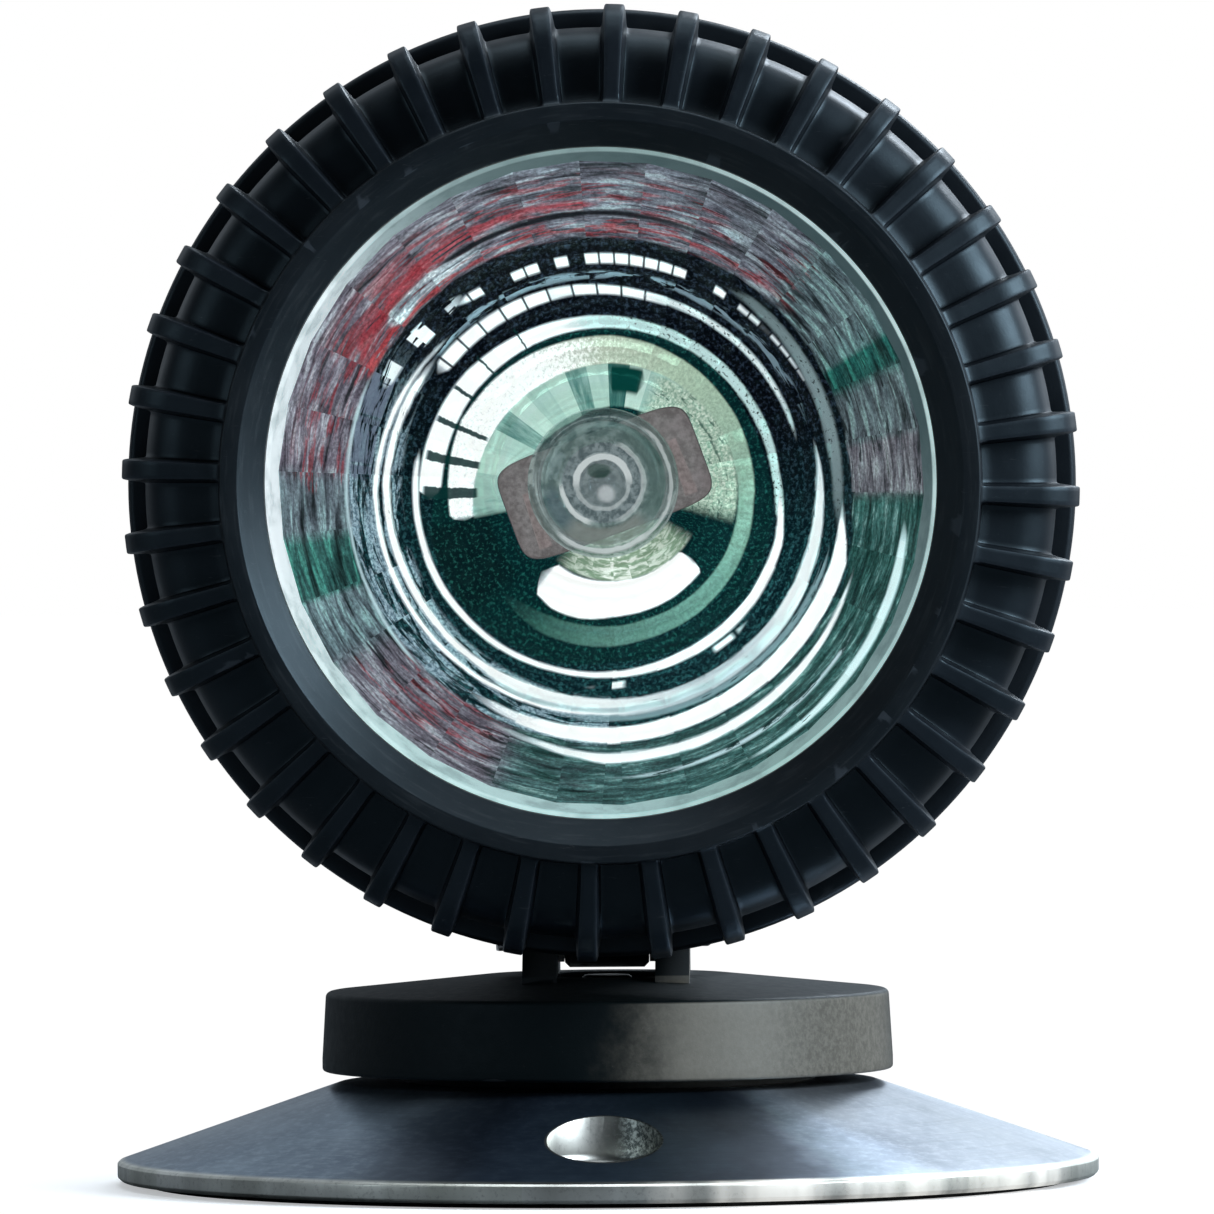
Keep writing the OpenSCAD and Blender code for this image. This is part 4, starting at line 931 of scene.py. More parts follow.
def build_ring():
    v, r = ring_profiles()
    # from the ring's rear face round the thread, the glass seat and the bezel back to the rim of the bezel
    inner = fillet([(32.5, 12.0), (30.02, 12.0, 0.25), (30.02, 7.4, 0.15), (28.1, 7.4, 0.1), (28.1, 4.2, 0.1), (24.12, 4.2, 0.15),
                    (24.12, 2.0, 0.3), (25.98, 0.04, 0.16), (27.2, 0.0, 0.14), (27.28, 0.30)], 4, closed=False)
    inner = dense(inner, 0.7, closed=False)[1:-1]
    offs = [0.0, 0.55, 0.95, 1.1, 1.2, 1.29, 1.38, 1.47, 1.56, 1.68, 1.85, 2.3, 3.0, 3.8]
    wts = [1.0, 1.0, 1.0, 0.985, 0.93, 0.80, 0.56, 0.27, 0.09, 0.02, 0.0, 0.0, 0.0, 0.0]
    angs, w = [], []
    for k in range(RIB_N):
        c = 1.98 + k * 9.0
        for o, q in list(zip(offs, wts))[::-1][:-1]:
            angs.append(c - o)
            w.append(q)
        for o, q in zip(offs, wts):
            angs.append(c + o)
            w.append(q)
        angs.append(c + 4.5)
        w.append(0.0)
    P = []
    for (vr, vh), (rr, rh) in zip(v, r):
        P.append([head_at(vr + (rr - vr) * q, vh + (rh - vh) * q, math.radians(a)) for a, q in zip(angs, w)])
    for (ir, ih) in inner:
        P.append([head_at(ir, ih, math.radians(a)) for a in angs])
    return grid_ring("screw_ring_v", P, sharp=38)


def ring_mat():
    """Satin black moulding: bluish grey bloom, lighter crests, painted shade in the hollows, a duller outer bezel band
    and small scuffs.
    """
    g = Mat("ring_satin_black")
    r, a = g.polar()
    cloud = g.noise(0.10, 4, 0.6)
    base = g.mix(g.mr(cloud, 0.35, 0.66), (0.0035, 0.0050, 0.0078), (0.0078, 0.0100, 0.0140))
    # bezel bands
    bez = g.mr(r, 27.5, 27.2)
    bcol = g.mix(g.mr(g.noise(0.16, 4, 0.6), 0.35, 0.7), (0.0065, 0.0085, 0.0110), (0.0120, 0.0142, 0.0170))
    swirl = g.noise(1.0, 3, 0.6, g.vec(g.m("MULTIPLY", r, 3.0), g.m("MULTIPLY", a, 40.0), 0.0))
    bcol = g.mix(g.m("MULTIPLY", g.mr(swirl, 0.5, 0.72), 0.3), bcol, (0.045, 0.05, 0.055))
    col = g.mix(bez, base, bcol)
    # scuffs and specks
    fine = g.noise(3.5, 5, 0.68)
    specks = g.mr(g.noise(2.3, 6, 0.78), 0.645, 0.72)
    col = g.mix(g.m("MULTIPLY", specks, 0.22), col, (0.16, 0.17, 0.18))
    scratch = g.mr(g.noise(1.0, 3, 0.7, g.vec(g.m("MULTIPLY", g.x, 0.5), g.m("MULTIPLY", g.y, 2.0), g.m("MULTIPLY", g.z, 5.0)), 1.2), 0.66, 0.72)
    col = g.mix(g.m("MULTIPLY", scratch, 0.16), col, (0.14, 0.15, 0.16))
    # crests of the ribs
    p = g.m("ADD", g.pointy(), g.m("MULTIPLY", g.m("SUBTRACT", fine, 0.5), 0.05))
    edge = g.mr(p, 0.515, 0.60)
    col = g.mix(g.m("MULTIPLY", edge, 0.55), col, (0.060, 0.070, 0.084))
    # painted shade: the hollows between the ribs are painted darker
    hollow_shade = g.mr(p, 0.485, 0.42)
    col = g.mix(g.m("MULTIPLY", hollow_shade, 0.5), col, (0.004, 0.0045, 0.006))
    rough = g.m("ADD", g.m("MULTIPLY", bez, 0.03), g.m("ADD", 0.33, g.m("MULTIPLY", g.noise(0.7, 4, 0.6), 0.17)))
    h = g.m("ADD", g.m("MULTIPLY", g.noise(5.0, 3, 0.6), 0.6), g.m("MULTIPLY", g.noise(0.8, 3), 0.5))
    g.set(color=col, rough=rough, normal=g.bump(h, 0.2, 0.05), spec=0.36, stint=(0.62, 0.86, 1.0, 1.0))
    return g.mat


M_RINGV = ring_mat()
put(build_ring(), "ring", M_RINGV, "ring_black", "screw_ring")

# ------------------------------------------------------------------ cover glass and gasket
glass = lathe("cover_glass_v", dense(fillet([(0, 4.22), (27.85, 4.22, 0.35), (27.85, 7.18, 0.35), (0, 7.18)], 4, closed=False), 2.5, closed=False), 192, closed=False)
put(glass, "glass_carrier", M_GLASS, "clear_glass", "cover_glass")
gask = lathe("glass_gasket_v", fillet([(25.97, 7.22, 0.2), (27.88, 7.22, 0.2), (27.88, 7.78, 0.2), (25.97, 7.78, 0.2)], 4), 160)
put(gask, "glass_carrier", M_SILICONE, "silicone", "glass_gasket")

# ------------------------------------------------------------------ reflector
LH = 7.7                       # depth of the lamp rim
PK, PV = 20.8, 26.08           # bowl: r^2 = PK (PV - depth)
ROWS_R = [23.29, 21.95, 20.6, 19.25, 18.0, 16.9, 15.85, 14.85, 13.85, 12.95, 12.05, 11.2, 10.1, 9.0, 8.02]


def rect_r(hx, hy, a, rc=1.6):
    """Distance from the centre to a rounded rectangle's outline in direction a (0 along its long side)."""
    c, s = math.cos(a), math.sin(a)
    p = 7.0
    return 1.0 / ((abs(c) / hx) ** p + (abs(s) / hy) ** p) ** (1 / p)


def lamp_pt(r, h, a):
    """a is measured from the lamp's long direction, which stands LAMP_A above the horizontal."""
    t = math.pi / 2 - LAMP_A - a
    return head_at(r, h, t)


NF, SUB, RSUB = 30, 6, 4
TURN = math.radians(1.6)


def build_reflector():
    m = NF * SUB
    ang = [2 * math.pi * j / m + TURN for j in range(m)]
    P, tags = [], []      # tags: (row of facets or -1)
    def depth(r):
        return PV - r * r / PK
    rows = len(ROWS_R) - 1
    for i in range(rows):
        r0, r1 = ROWS_R[i], ROWS_R[i + 1]
        d0, d1 = depth(r0), depth(r1)
        for u in range(RSUB):
            fu = u / RSUB
            line = []
            for j in range(m):
                k, fv = divmod(j, SUB)
                fv /= SUB
                a0, a1 = 2 * math.pi * k / NF + TURN, 2 * math.pi * (k + 1) / NF + TURN
                r = r0 + (r1 - r0) * fu
                d = d0 + (d1 - d0) * fu
                # the facet is a flat patch between its corners, a little crowned
                x = r * ((1 - fv) * math.cos(a0) + fv * math.cos(a1))
                y = r * ((1 - fv) * math.sin(a0) + fv * math.sin(a1))
                rr, aa = math.hypot(x, y), math.atan2(y, x)
                crown = (1 - (2 * fu - 1) ** 2) * (1 - (2 * fv - 1) ** 2)
                rr -= 0.045 * crown * (r / 20)
                line.append(lamp_pt(rr, LH + d, aa))
            P.append(line)
            tags.append(i)
    floor_h = LH + 23.05
    nfacet = len(P)
    for rr in (8.02, 7.6):
        P.append([lamp_pt(max(rr, rect_r(7.5, 3.8, a) + (0.25 if rr > 7.7 else 0.15)), LH + 23.0 if rr > 7.7 else floor_h, a) for a in ang])
    P.append([lamp_pt(rect_r(7.5, 3.8, a) + 0.06, floor_h + 0.02, a) for a in ang])
    P.append([lamp_pt(rect_r(7.5, 3.8, a), floor_h + 0.25, a) for a in ang])
    P.append([lamp_pt(rect_r(7.5, 3.8, a), 45.5, a) for a in ang])
    P.append([lamp_pt(rect_r(7.65, 3.95, a), 45.68, a) for a in ang])
    P.append([lamp_pt(rect_r(8.3, 5.8, a), 45.68, a) for a in ang])
    P.append([lamp_pt(rect_r(8.5, 6.0, a), 45.45, a) for a in ang])
    P.append([lamp_pt(rect_r(8.5, 6.0, a), 36.0, a) for a in ang])
    P.append([lamp_pt(rect_r(8.5, 6.0, a), 34.3, a) for a in ang])
    P.append([lamp_pt(0.5 * (rect_r(8.6, 6.1, a) + 9.3), 33.9, a) for a in ang])
    for i in range(9, 0, -1):
        d = i * 2.5
        P.append([lamp_pt(math.sqrt(PK * (PV - d)) + 1.68 + i * 0.05, LH + d + 0.6, a) for a in ang])
    for (r, d) in fillet([(24.4, 2.2), (25.33, 1.9, 0.2), (25.33, 0.3, 0.3), (25.0, 0.02, 0.2), (23.6, 0.0, 0.1), (23.31, -0.0)], 3, closed=False):
        P.append([lamp_pt(r, LH + d, a) for a in ang])
    ob = grid_ring("lamp_reflector_v", P, sharp=180)
    me = ob.data
    n = len(P)
    # crisp edges between the facets, soft inside each one
    sharp = np.zeros(len(me.edges), bool)
    ed = np.zeros(len(me.edges) * 2, np.int32)
    me.edges.foreach_get("vertices", ed)
    ed = ed.reshape(-1, 2)
    ii, jj = ed // m, ed % m
    frow = (ii % RSUB == 0) & (ii <= nfacet)
    fcol = jj % SUB == 0
    same_row = (ii[:, 0] == ii[:, 1]) & frow[:, 0] & (ii[:, 0] <= nfacet)
    same_col = (jj[:, 0] == jj[:, 1]) & fcol[:, 0] & (ii.max(axis=1) <= nfacet)
    sharp |= same_row | same_col
    for k in (nfacet + 3, nfacet + 5, nfacet + 6):
        sharp |= (ii[:, 0] == k) & (ii[:, 1] == k)
    at = me.attributes.get("sharp_edge") or me.attributes.new("sharp_edge", "BOOLEAN", "EDGE")
    at.data.foreach_set("value", sharp)
    # facet numbers for the material
    ra = me.attributes.new("facet_row", "FLOAT", "FACE")
    ca = me.attributes.new("facet_col", "FLOAT", "FACE")
    rows_, cols_, mats = [], [], []
    for f in me.polygons:
        i_ = [v // m for v in f.vertices]
        j_ = [v % m for v in f.vertices]
        lo = min(i_)
        if max(i_) - lo > 1:
            lo = max(i_)
        jl = min(j_)
        if max(j_) - jl > 1:
            jl = max(j_)
        rows_.append(float(lo // RSUB if lo < nfacet else 99))
        cols_.append(float(jl // SUB))
        if lo < nfacet + 2:
            mats.append(0)
        elif lo >= n - 9:
            mats.append(1)
        else:
            mats.append(2)
    ra.data.foreach_set("value", rows_)
    ca.data.foreach_set("value", cols_)
    me.materials.clear()
    me.materials.append(M_REFL)
    me.materials.append(M_RIM)
    me.materials.append(M_BACK)
    me.polygons.foreach_set("material_index", mats)
    return ob


refl = build_reflector()
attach(refl, "head")
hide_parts("lamp_reflector")


# ------------------------------------------------------------------ cement, capsule, filament
def build_cement():
    m = 120
    ang = [2 * math.pi * j / m for j in range(m)]
    V, F = [], []
    rings = [(7.45, 3.75, 32.15), (7.48, 3.78, 37.0), (7.45, 3.75, 45.2), (7.2, 3.5, 45.3)]
    top = [(7.15, 3.45, 31.95), (6.7, 3.0, 31.88), (4.4, 2.0, 31.86), (2.0, 1.0, 31.86)]
    layers = top[::-1] + rings
    V.append(lamp_pt(0, 31.86, 0))
    for hx, hy, h in layers:
        for a in ang:
            k = rect_r(hx, hy, a)
            bumpy = 0.03 * math.sin(7 * a + h) + 0.02 * math.sin(17 * a + 2 * hx)
            V.append(lamp_pt(k, h + (bumpy if h < 32 else 0), a))
    V.append(lamp_pt(0, 45.3, 0))
    L = len(layers)
    for j in range(m):
        b = (j + 1) % m
        F.append((0, 1 + j, 1 + b))
        for i in range(L - 1):
            F.append((1 + i * m + j, 1 + i * m + b, 1 + (i + 1) * m + b, 1 + (i + 1) * m + j))
        F.append((1 + (L - 1) * m + j, 1 + (L - 1) * m + b, len(V) - 1))
    ob = mesh_obj("lamp_cement_v", V, F, 40)
    cut = []
    # the slots at both ends of the capsule's pinch
    for s in (-1, 1):
        c = [(s * 5.75 - 0.5, -3.0), (s * 5.75 + 0.5, -3.0), (s * 5.75 + 0.3, 1.3), (s * 5.75 - 0.3, 1.3)]
        q = prism("slot_cut", c, 31.0, 35.5, "z")
        for v in q.data.vertices:
            x, y, z = v.co / MM
            v.co = lamp_pt(math.hypot(x, y), z, math.atan2(y, x))
        q.data.update()
        q.data.flip_normals()
        cut.append(q)
    return boolean(ob, cut, sharp=35)


put(build_cement(), "head", M_CEMENT, "cement", "lamp_cement")


def build_capsule():
    cr = 5.5
    prof = [(0, LH + 5.0), (0.55, LH + 5.08), (0.95, LH + 5.5), (1.15, LH + 6.3, 0.6), (1.5, LH + 7.1, 0.6), (2.9, LH + 7.35, 0.5), (3.05, LH + 7.9, 0.5), (4.6, LH + 8.6, 1.2),
            (cr, LH + 10.6, 1.6), (cr, LH + 20.4, 1.6), (4.4, LH + 22.9, 1.2), (2.2, LH + 24.0, 0.6), (0, LH + 24.1)]
    ob = lathe("lamp_capsule_v", dense(fillet(prof, 6, closed=False), 0.8, closed=False), 96, closed=False, sharp=60)
    inner = [(0, LH + 8.6), (1.4, LH + 8.7), (2.4, LH + 9.1, 0.6), (3.9, LH + 9.9, 1.0), (4.55, LH + 11.6, 1.2), (4.55, LH + 19.8, 1.2), (3.5, LH + 21.7, 1.0), (1.6, LH + 22.5), (0, LH + 22.5)]
    hole = lathe("cap_cut", dense(fillet(inner, 6, closed=False), 0.8, closed=False), 96, closed=False, sharp=60)
    boolean(ob, [hole], sharp=60)
    return ob


put(build_capsule(), "head", M_QUARTZ, "quartz_glass", "lamp_capsule")


def tube_curve(name, pts, radius, bev=6, cyclic=False):
    cu = bpy.data.curves.new(name, "CURVE")
    cu.dimensions = "3D"
    cu.bevel_depth = radius * MM
    cu.bevel_resolution = bev
    cu.use_fill_caps = True
    sp = cu.splines.new("NURBS")
    sp.points.add(len(pts) - 1)
    for p, q in zip(sp.points, pts):
        p.co = (*q, 1.0)
    sp.use_endpoint_u = True
    sp.order_u = 3
    sp.resolution_u = 6
    sp.use_cyclic_u = cyclic
    ob = bpy.data.objects.new(name, cu)
    bpy.context.scene.collection.objects.link(ob)
    dg = bpy.context.evaluated_depsgraph_get()
    me = bpy.data.meshes.new_from_object(ob.evaluated_get(dg))
    bpy.data.objects.remove(ob, do_unlink=True)
    me.name = name
    o2 = bpy.data.objects.new(name, me)
    bpy.context.scene.collection.objects.link(o2)
    bm = bmesh.new()
    bm.from_mesh(me)
    bmesh.ops.remove_doubles(bm, verts=bm.verts, dist=1e-7)
    bmesh.ops.recalc_face_normals(bm, faces=bm.faces)
    bm.to_mesh(me)
    bm.free()
    me.polygons.foreach_set("use_smooth", [True] * len(me.polygons))
    return o2


def lamp_xyz(x, y, h):
    return Vector(lamp_pt(math.hypot(x, y), h, math.atan2(y, x)))


coil = []
for i in range(121):
    t = i / 120
    w = 2 * math.pi * 12 * t
    coil.append(lamp_xyz(-2.0 + 4.0 * t, 0.42 * math.cos(w), LH + 14.0 + 0.42 * math.sin(w)))
leg_a = [lamp_xyz(-2.0, 0, LH + 22.4), lamp_xyz(-2.0, 0, LH + 18.0), lamp_xyz(-2.0, 0.1, LH + 14.8)]
leg_b = [lamp_xyz(2.0, 0.1, LH + 14.8), lamp_xyz(2.0, 0, LH + 18.0), lamp_xyz(2.0, 0, LH + 22.4)]
fil = tube_curve("lamp_filament_v", leg_a + coil + leg_b, 0.12, 3)
put(fil, "head", M_TUNGSTEN, "tungsten", "lamp_filament")

# ------------------------------------------------------------------ housing
def build_housing():
    outer = [(25.8, 8.0, 0.2), (29.9, 7.95, 0.3), (29.9, 12.3, 0.1), (34.2, 12.3, 0.4), (34.38, 12.9, 0.4), (34.38, 14.9, 0.5), (33.9, 15.35, 0.4), (28.9, 15.4, 1.5),
             (27.3, 17.0, 2.0), (24.2, 28.0, 12.0), (21.0, 48.0, 10.0), (18.35, 62.2, 3.0), (16.0, 64.5, 2.6), (10.6, 64.5, 0.2), (10.4, 65.28, 0.25), (6.05, 65.28, 0.15),
             (6.05, 62.05, 0.15), (15.0, 62.0, 0.5), (16.8, 59.5, 0.8), (18.6, 47.6), (21.8, 27.6), (24.0, 16.0), (24.0, 11.5, 0.2), (25.75, 11.5, 0.1)]
    prof = []
    ring_ = dense(fillet(outer, 5), 1.2)
    for a_, b_ in zip(ring_, ring_[1:] + ring_[:1]):
        prof.append(a_)
        if a_[0] > 29.6 and b_[0] > 29.6 and abs(a_[0] - b_[0]) < 0.05 and 8.0 < min(a_[1], b_[1]) and max(a_[1], b_[1]) < 12.1:
            k_ = max(1, int(abs(b_[1] - a_[1]) / 0.18))
            prof += [(a_[0], a_[1] + (b_[1] - a_[1]) * j / k_) for j in range(1, k_)]
    seg = 240
    P = []
    for r, h in prof:
        line = []
        for j in range(seg):
            a = 2 * math.pi * j / seg
            rr = r
            if 8.1 < h < 12.05 and r > 29.6:
                # the thread that the ring runs on
                ph = (h / 2.0 - a / (2 * math.pi)) % 1.0
                rr = r - 0.42 * (0.5 - 0.5 * math.cos(2 * math.pi * ph)) ** 1.2 * min(1.0, (h - 8.1) / 0.4, (12.05 - h) / 0.4)
            line.append(head_at(rr, h, a))
        P.append(line)
    return grid_ring("housing_v", P, sharp=40)


hs = build_housing()
# lug under the housing, with its tilt hole
lz = PIV
pts = []
for k in range(25):
    a = math.radians(180 + 180 * k / 24)
    pts.append((4.8 * math.cos(a), lz + 4.8 * math.sin(a)))
pts += [(5.6, lz + 3.2), (8.6, 30.4), (-7.6, 29.6), (-5.2, lz + 3.2)]
lug = prism("lug_v", pts, -3.1, 3.1, "x", 0.35)
bore = []
for k in range(48):
    a = 2 * math.pi * k / 48
    bore.append((2.06 * math.cos(a), lz + 2.06 * math.sin(a)))
cutb = prism("lug_cut", bore, -8, 8, "x")
boolean(lug, [cutb], sharp=30)
boolean(hs, [lug], "UNION", sharp=38)
put(hs, "head", M_HOUSING, "housing_black", "housing")

# ------------------------------------------------------------------ floor plate, pad, friction ring
PZ = _plo.z / MM          # lower edge of the plate
FIX = [math.radians(-90 + 120 * k) for k in range(3)]


def at_fix(k):
    return Matrix.Translation((28.0 * MM * math.cos(FIX[k]), 28.0 * MM * math.sin(FIX[k]), 0))


def build_plate():
    R = PLATE_R
    prof = [(2.06, 7.5, 0.1), (2.06, 3.34, 0.1), (4.45, 0.98, 0.1), (R - 1.5, 1.0, 0.1), (R - 1.5, PZ, 0.08), (R - 0.28, PZ, 0.14), (R, PZ + 0.28, 0.14),
            (R, PZ + 1.24, 0.10), (R - 0.18, PZ + 1.42, 0.10), (19.75, 7.45, 0.5), (19.1, 7.5)]
    ob = lathe("base_plate_v", dense(fillet(prof, 4), 1.6), 288, up_at, sharp=24)
    cuts = []
    for k in range(3):
        c = lathe("fix_cut", fillet([(0, -1), (2.25, -1), (2.25, 1.5, 0.15), (3.3, 2.15, 0.8), (4.1, 3.0, 0.9), (4.1, 14), (0, 14)], 5, closed=False), 72, up_at, closed=False)
        move(c, at_fix(k))
        cuts.append(c)
    boolean(ob, cuts, sharp=24)
    return bevel(ob, 0.11, 2, 30)


put(build_plate(), "base", M_PLATE, "plate_metal", "base_plate")


def build_pad():
    ob = lathe("foot_pad_v", dense(fillet([(0, 0.0), (33.95, 0.0, 0.3), (34.23, 0.3, 0.2), (34.23, 0.98, 0.1), (0, 0.98)], 3, closed=False), 2.0, closed=False), 192, up_at, closed=False)
    cuts = []
    for k in range(3):
        c = lathe("pad_cut", [(0, -1), (2.6, -1), (2.6, 3), (0, 3)], 48, up_at, closed=False)
        move(c, at_fix(k))
        cuts.append(c)
    return boolean(ob, cuts, sharp=30)


put(build_pad(), "base", M_PAD, "pad_rubber", "foot_pad")
fr = lathe("friction_ring_v", fillet([(8.0, 7.5, 0.1), (15.3, 7.5, 0.12), (15.3, DISC_Z - 0.01, 0.12), (8.0, DISC_Z - 0.01, 0.1)], 3), 192, up_at)
put(fr, "base", M_DISC, "black_plastic", "friction_ring")


# ------------------------------------------------------------------ turning disc with its yoke
def circle_pts(r, cy, cz, n=48, a0=0.0):
    return [(cy + r * math.cos(a0 + 2 * math.pi * k / n), cz + r * math.sin(a0 + 2 * math.pi * k / n)) for k in range(n)]


def build_disc():
    T, B = DISC_TOP, DISC_Z
    prof = [(2.06, B + 0.0, 0.1), (DISC_R - 0.02, B + 0.0, 0.25), (DISC_R - 0.02, B + 0.9), (DISC_R - 0.31, T - 1.2, 0.42), (9.1, T - 0.02, 3.0), (6.0, T - 0.02, 0.2), (6.0, B + 1.9, 0.2), (2.06, B + 1.9, 0.1)]
    ob = lathe("turning_disc_v", dense(fillet(prof, 6), 1.2), 240, up_at, sharp=30)
    for s in (-1, 1):
        top = []
        for k in range(29):
            a = math.radians(-12 + 204 * k / 28)
            top.append((5.0 * math.cos(a), PIV + 5.0 * math.sin(a)))
        out = [(-10.5, T - 0.8), (10.5, T - 0.8), (10.5, T + 0.25)] + top + [(-10.5, T + 0.25)]
        lo, hi = (3.6, 6.1) if s > 0 else (-6.1, -3.6)
        ear = prism("ear", out, lo, hi, "x", 0.0)
        boolean(ob, [ear], "UNION")
    cut = [prism("c1", circle_pts(2.05, 0, PIV), -10, 10, "x"), prism("c2", circle_pts(7.1 / 2 / math.cos(math.radians(30)), 0, PIV, 6, 0.0), -8, -4.9, "x"),
           lathe("c3", [(0, B + 1.92), (5.99, B + 1.92), (5.99, T - 0.02), (0, T - 0.02)], 96, up_at, closed=False)]
    boolean(ob, cut, sharp=30)
    return bevel(ob, 0.22, 3, 32)


put(build_disc(), "swivel", M_DISC, "black_plastic", "turning_disc")


def hex_piece(name, af, z0, z1, bore=0.0, chamfer=0.45, rot=0.0, both=True):
    """A chamfered hexagon along +Z."""
    R = af / 2 / math.cos(math.radians(30))
    pts = [(R * math.cos(rot + math.pi / 3 * k), R * math.sin(rot + math.pi / 3 * k)) for k in range(6)]
    ob = prism(name, pts, z0, z1, "z")
    top = [(0, z0 - 0.0), (R - chamfer if both else R + 1, z0), (R + 0.25, z0 + chamfer * 0.75 if both else z0), (R + 0.25, z1 - chamfer * 0.75), (R - chamfer, z1), (0, z1)]
    cone = lathe("hx", top, 72, up_at, closed=False)
    boolean(ob, [cone], "INTERSECT", 25)
    if bore > 0:
        boolean(ob, [lathe("hb", fillet([(0, z0 - 1), (bore, z0 - 1), (bore, z1 + 1), (0, z1 + 1)], 1, closed=False), 48, up_at, closed=False)], sharp=25)
    return bevel(ob, 0.06, 2, 28)


TO_X = Matrix.Rotation(math.radians(90), 4, "Y")      # +Z to +X
TO_NX = Matrix.Rotation(math.radians(-90), 4, "Y")
TO_HEAD = Matrix.Translation((0, FY, AX)) @ Matrix.Rotation(math.radians(-90), 4, "X")   # +Z to +Y, depth behind the front face
AT_PIV = Matrix.Translation((0, 0, PIV * MM))


def build_tilt_bolt():
    ob = lathe("tilt_bolt_v", dense(fillet([(0, -9.2), (1.7, -9.2, 0.1), (2.0, -8.9, 0.1), (2.0, 6.1), (3.3, 6.1, 0.12), (3.3, 7.5, 0.35), (2.55, 8.28, 0.5), (0, 8.3)], 4, closed=False), 1.0, closed=False), 72, up_at, closed=False)
    R = 2.5 / 2 / math.cos(math.radians(30))
    cut = prism("hexs", [(R * math.cos(math.pi / 3 * k), R * math.sin(math.pi / 3 * k)) for k in range(6)], 6.7, 9.5, "z")
    boolean(ob, [cut], sharp=28)
    return move(bevel(ob, 0.06, 2, 35), AT_PIV @ TO_X)


put(build_tilt_bolt(), "swivel", M_STEEL, "zinc_steel", "tilt_bolt")
nut = hex_piece("tilt_nut_v", 7.0, 0.0, 3.2, 2.02)
move(nut, Matrix.Translation((-4.95 * MM, 0, PIV * MM)) @ TO_NX @ Matrix.Rotation(math.radians(30), 4, "Z"))
put(nut, "swivel", M_STEEL, "zinc_steel", "tilt_nut")


def build_pan_bolt():
    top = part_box("pan_bolt")[1].z / MM
    ob = lathe("pan_bolt_v", dense(fillet([(0, 1.06), (4.15, 1.06, 0.1), (2.0, 3.22, 0.2), (2.0, top - 0.35, 0.1), (1.65, top, 0.15), (0, top + 0.0)], 4, closed=False), 1.0, closed=False), 72, up_at, closed=False)
    R = 2.5 / 2 / math.cos(math.radians(30))
    cut = prism("hexs", [(R * math.cos(math.pi / 3 * k), R * math.sin(math.pi / 3 * k)) for k in range(6)], 0.2, 2.6, "z")
    return boolean(ob, [cut], sharp=28)


put(build_pan_bolt(), "base", M_STEEL_OLD, "zinc_steel", "pan_bolt")
pn = hex_piece("pan_nut_v", 7.0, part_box("pan_nut")[0].z / MM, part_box("pan_nut")[1].z / MM, 2.02)
put(pn, "base", M_STEEL_OLD, "zinc_steel", "pan_nut")

# ------------------------------------------------------------------ cable gland and cable
_glo, _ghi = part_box("gland_body")
_nlo, _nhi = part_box("gland_nut")
_clo, _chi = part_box("cable_jacket")


def build_gland_body():
    ob = lathe("gland_body_v", dense(fillet([(3.25, 59.4, 0.2), (5.95, 59.4, 0.3), (5.98, 66.2), (6.2, 69.1), (6.2, 75.0, 0.4), (4.75, 75.0, 0.3), (4.75, 70.5, 0.2), (3.25, 70.5, 0.2)], 3), 1.0), 96, up_at)
    hexa = hex_piece("ghex", 15.0, 66.1, 69.3, 0.0, 0.6, math.radians(30))
    boolean(ob, [hexa], "UNION", 28)
    return move(ob, TO_HEAD)


put(build_gland_body(), "head", M_GLAND, "gland_black", "gland_body")


def build_gland_nut():
    R = 15.0 / 2 / math.cos(math.radians(30))
    pts = [(R * math.cos(math.radians(30) + math.pi / 3 * k), R * math.sin(math.radians(30) + math.pi / 3 * k)) for k in range(6)]
    ob = prism("gland_nut_v", pts, 69.82, 77.8, "z")
    dome = lathe("dome", dense(fillet([(0, 69.8), (8.1, 69.8), (8.9, 70.4), (8.9, 74.6, 0.6), (7.4, 77.0, 1.8), (5.0, 77.78, 0.8), (0, 77.78)], 6, closed=False), 0.8, closed=False), 96, up_at, closed=False)
    boolean(ob, [dome], "INTERSECT", 25)
    bore = lathe("nb", fillet([(0, 60), (6.25, 60), (6.25, 75.6, 0.2), (3.4, 75.6, 0.1), (3.4, 90), (0, 90)], 2, closed=False), 72, up_at, closed=False)
    boolean(ob, [bore], sharp=28)
    return move(bevel(ob, 0.18, 3, 24), TO_HEAD)


put(build_gland_nut(), "head", M_GLAND, "gland_black", "gland_nut")


def build_jacket():
    h0, h1 = (_clo.y - FY) / MM, (_chi.y - FY) / MM
    prof = dense(fillet([(0.0, h0), (3.2, h0, 0.1), (3.2, h1, 0.18), (0.0, h1)], 4, closed=False), 0.7, closed=False)
    ob = lathe("cable_jacket_v", prof, 72, head_at, closed=False)
    cut = []
    for s in (-1, 1):
        c = lathe("core_cut", [(0, 0), (1.04, 0), (1.04, 60), (0, 60)], 36, up_at, closed=False)
        x = s * 1.3
        move(c, TO_HEAD @ Matrix.Rotation(-LAMP_A, 4, "Z") @ Matrix.Translation((x * MM, 0, 62 * MM)))
        cut.append(c)
    return boolean(ob, cut, sharp=35)


put(build_jacket(), "head", M_CABLE, "cable_rubber", "cable_jacket")

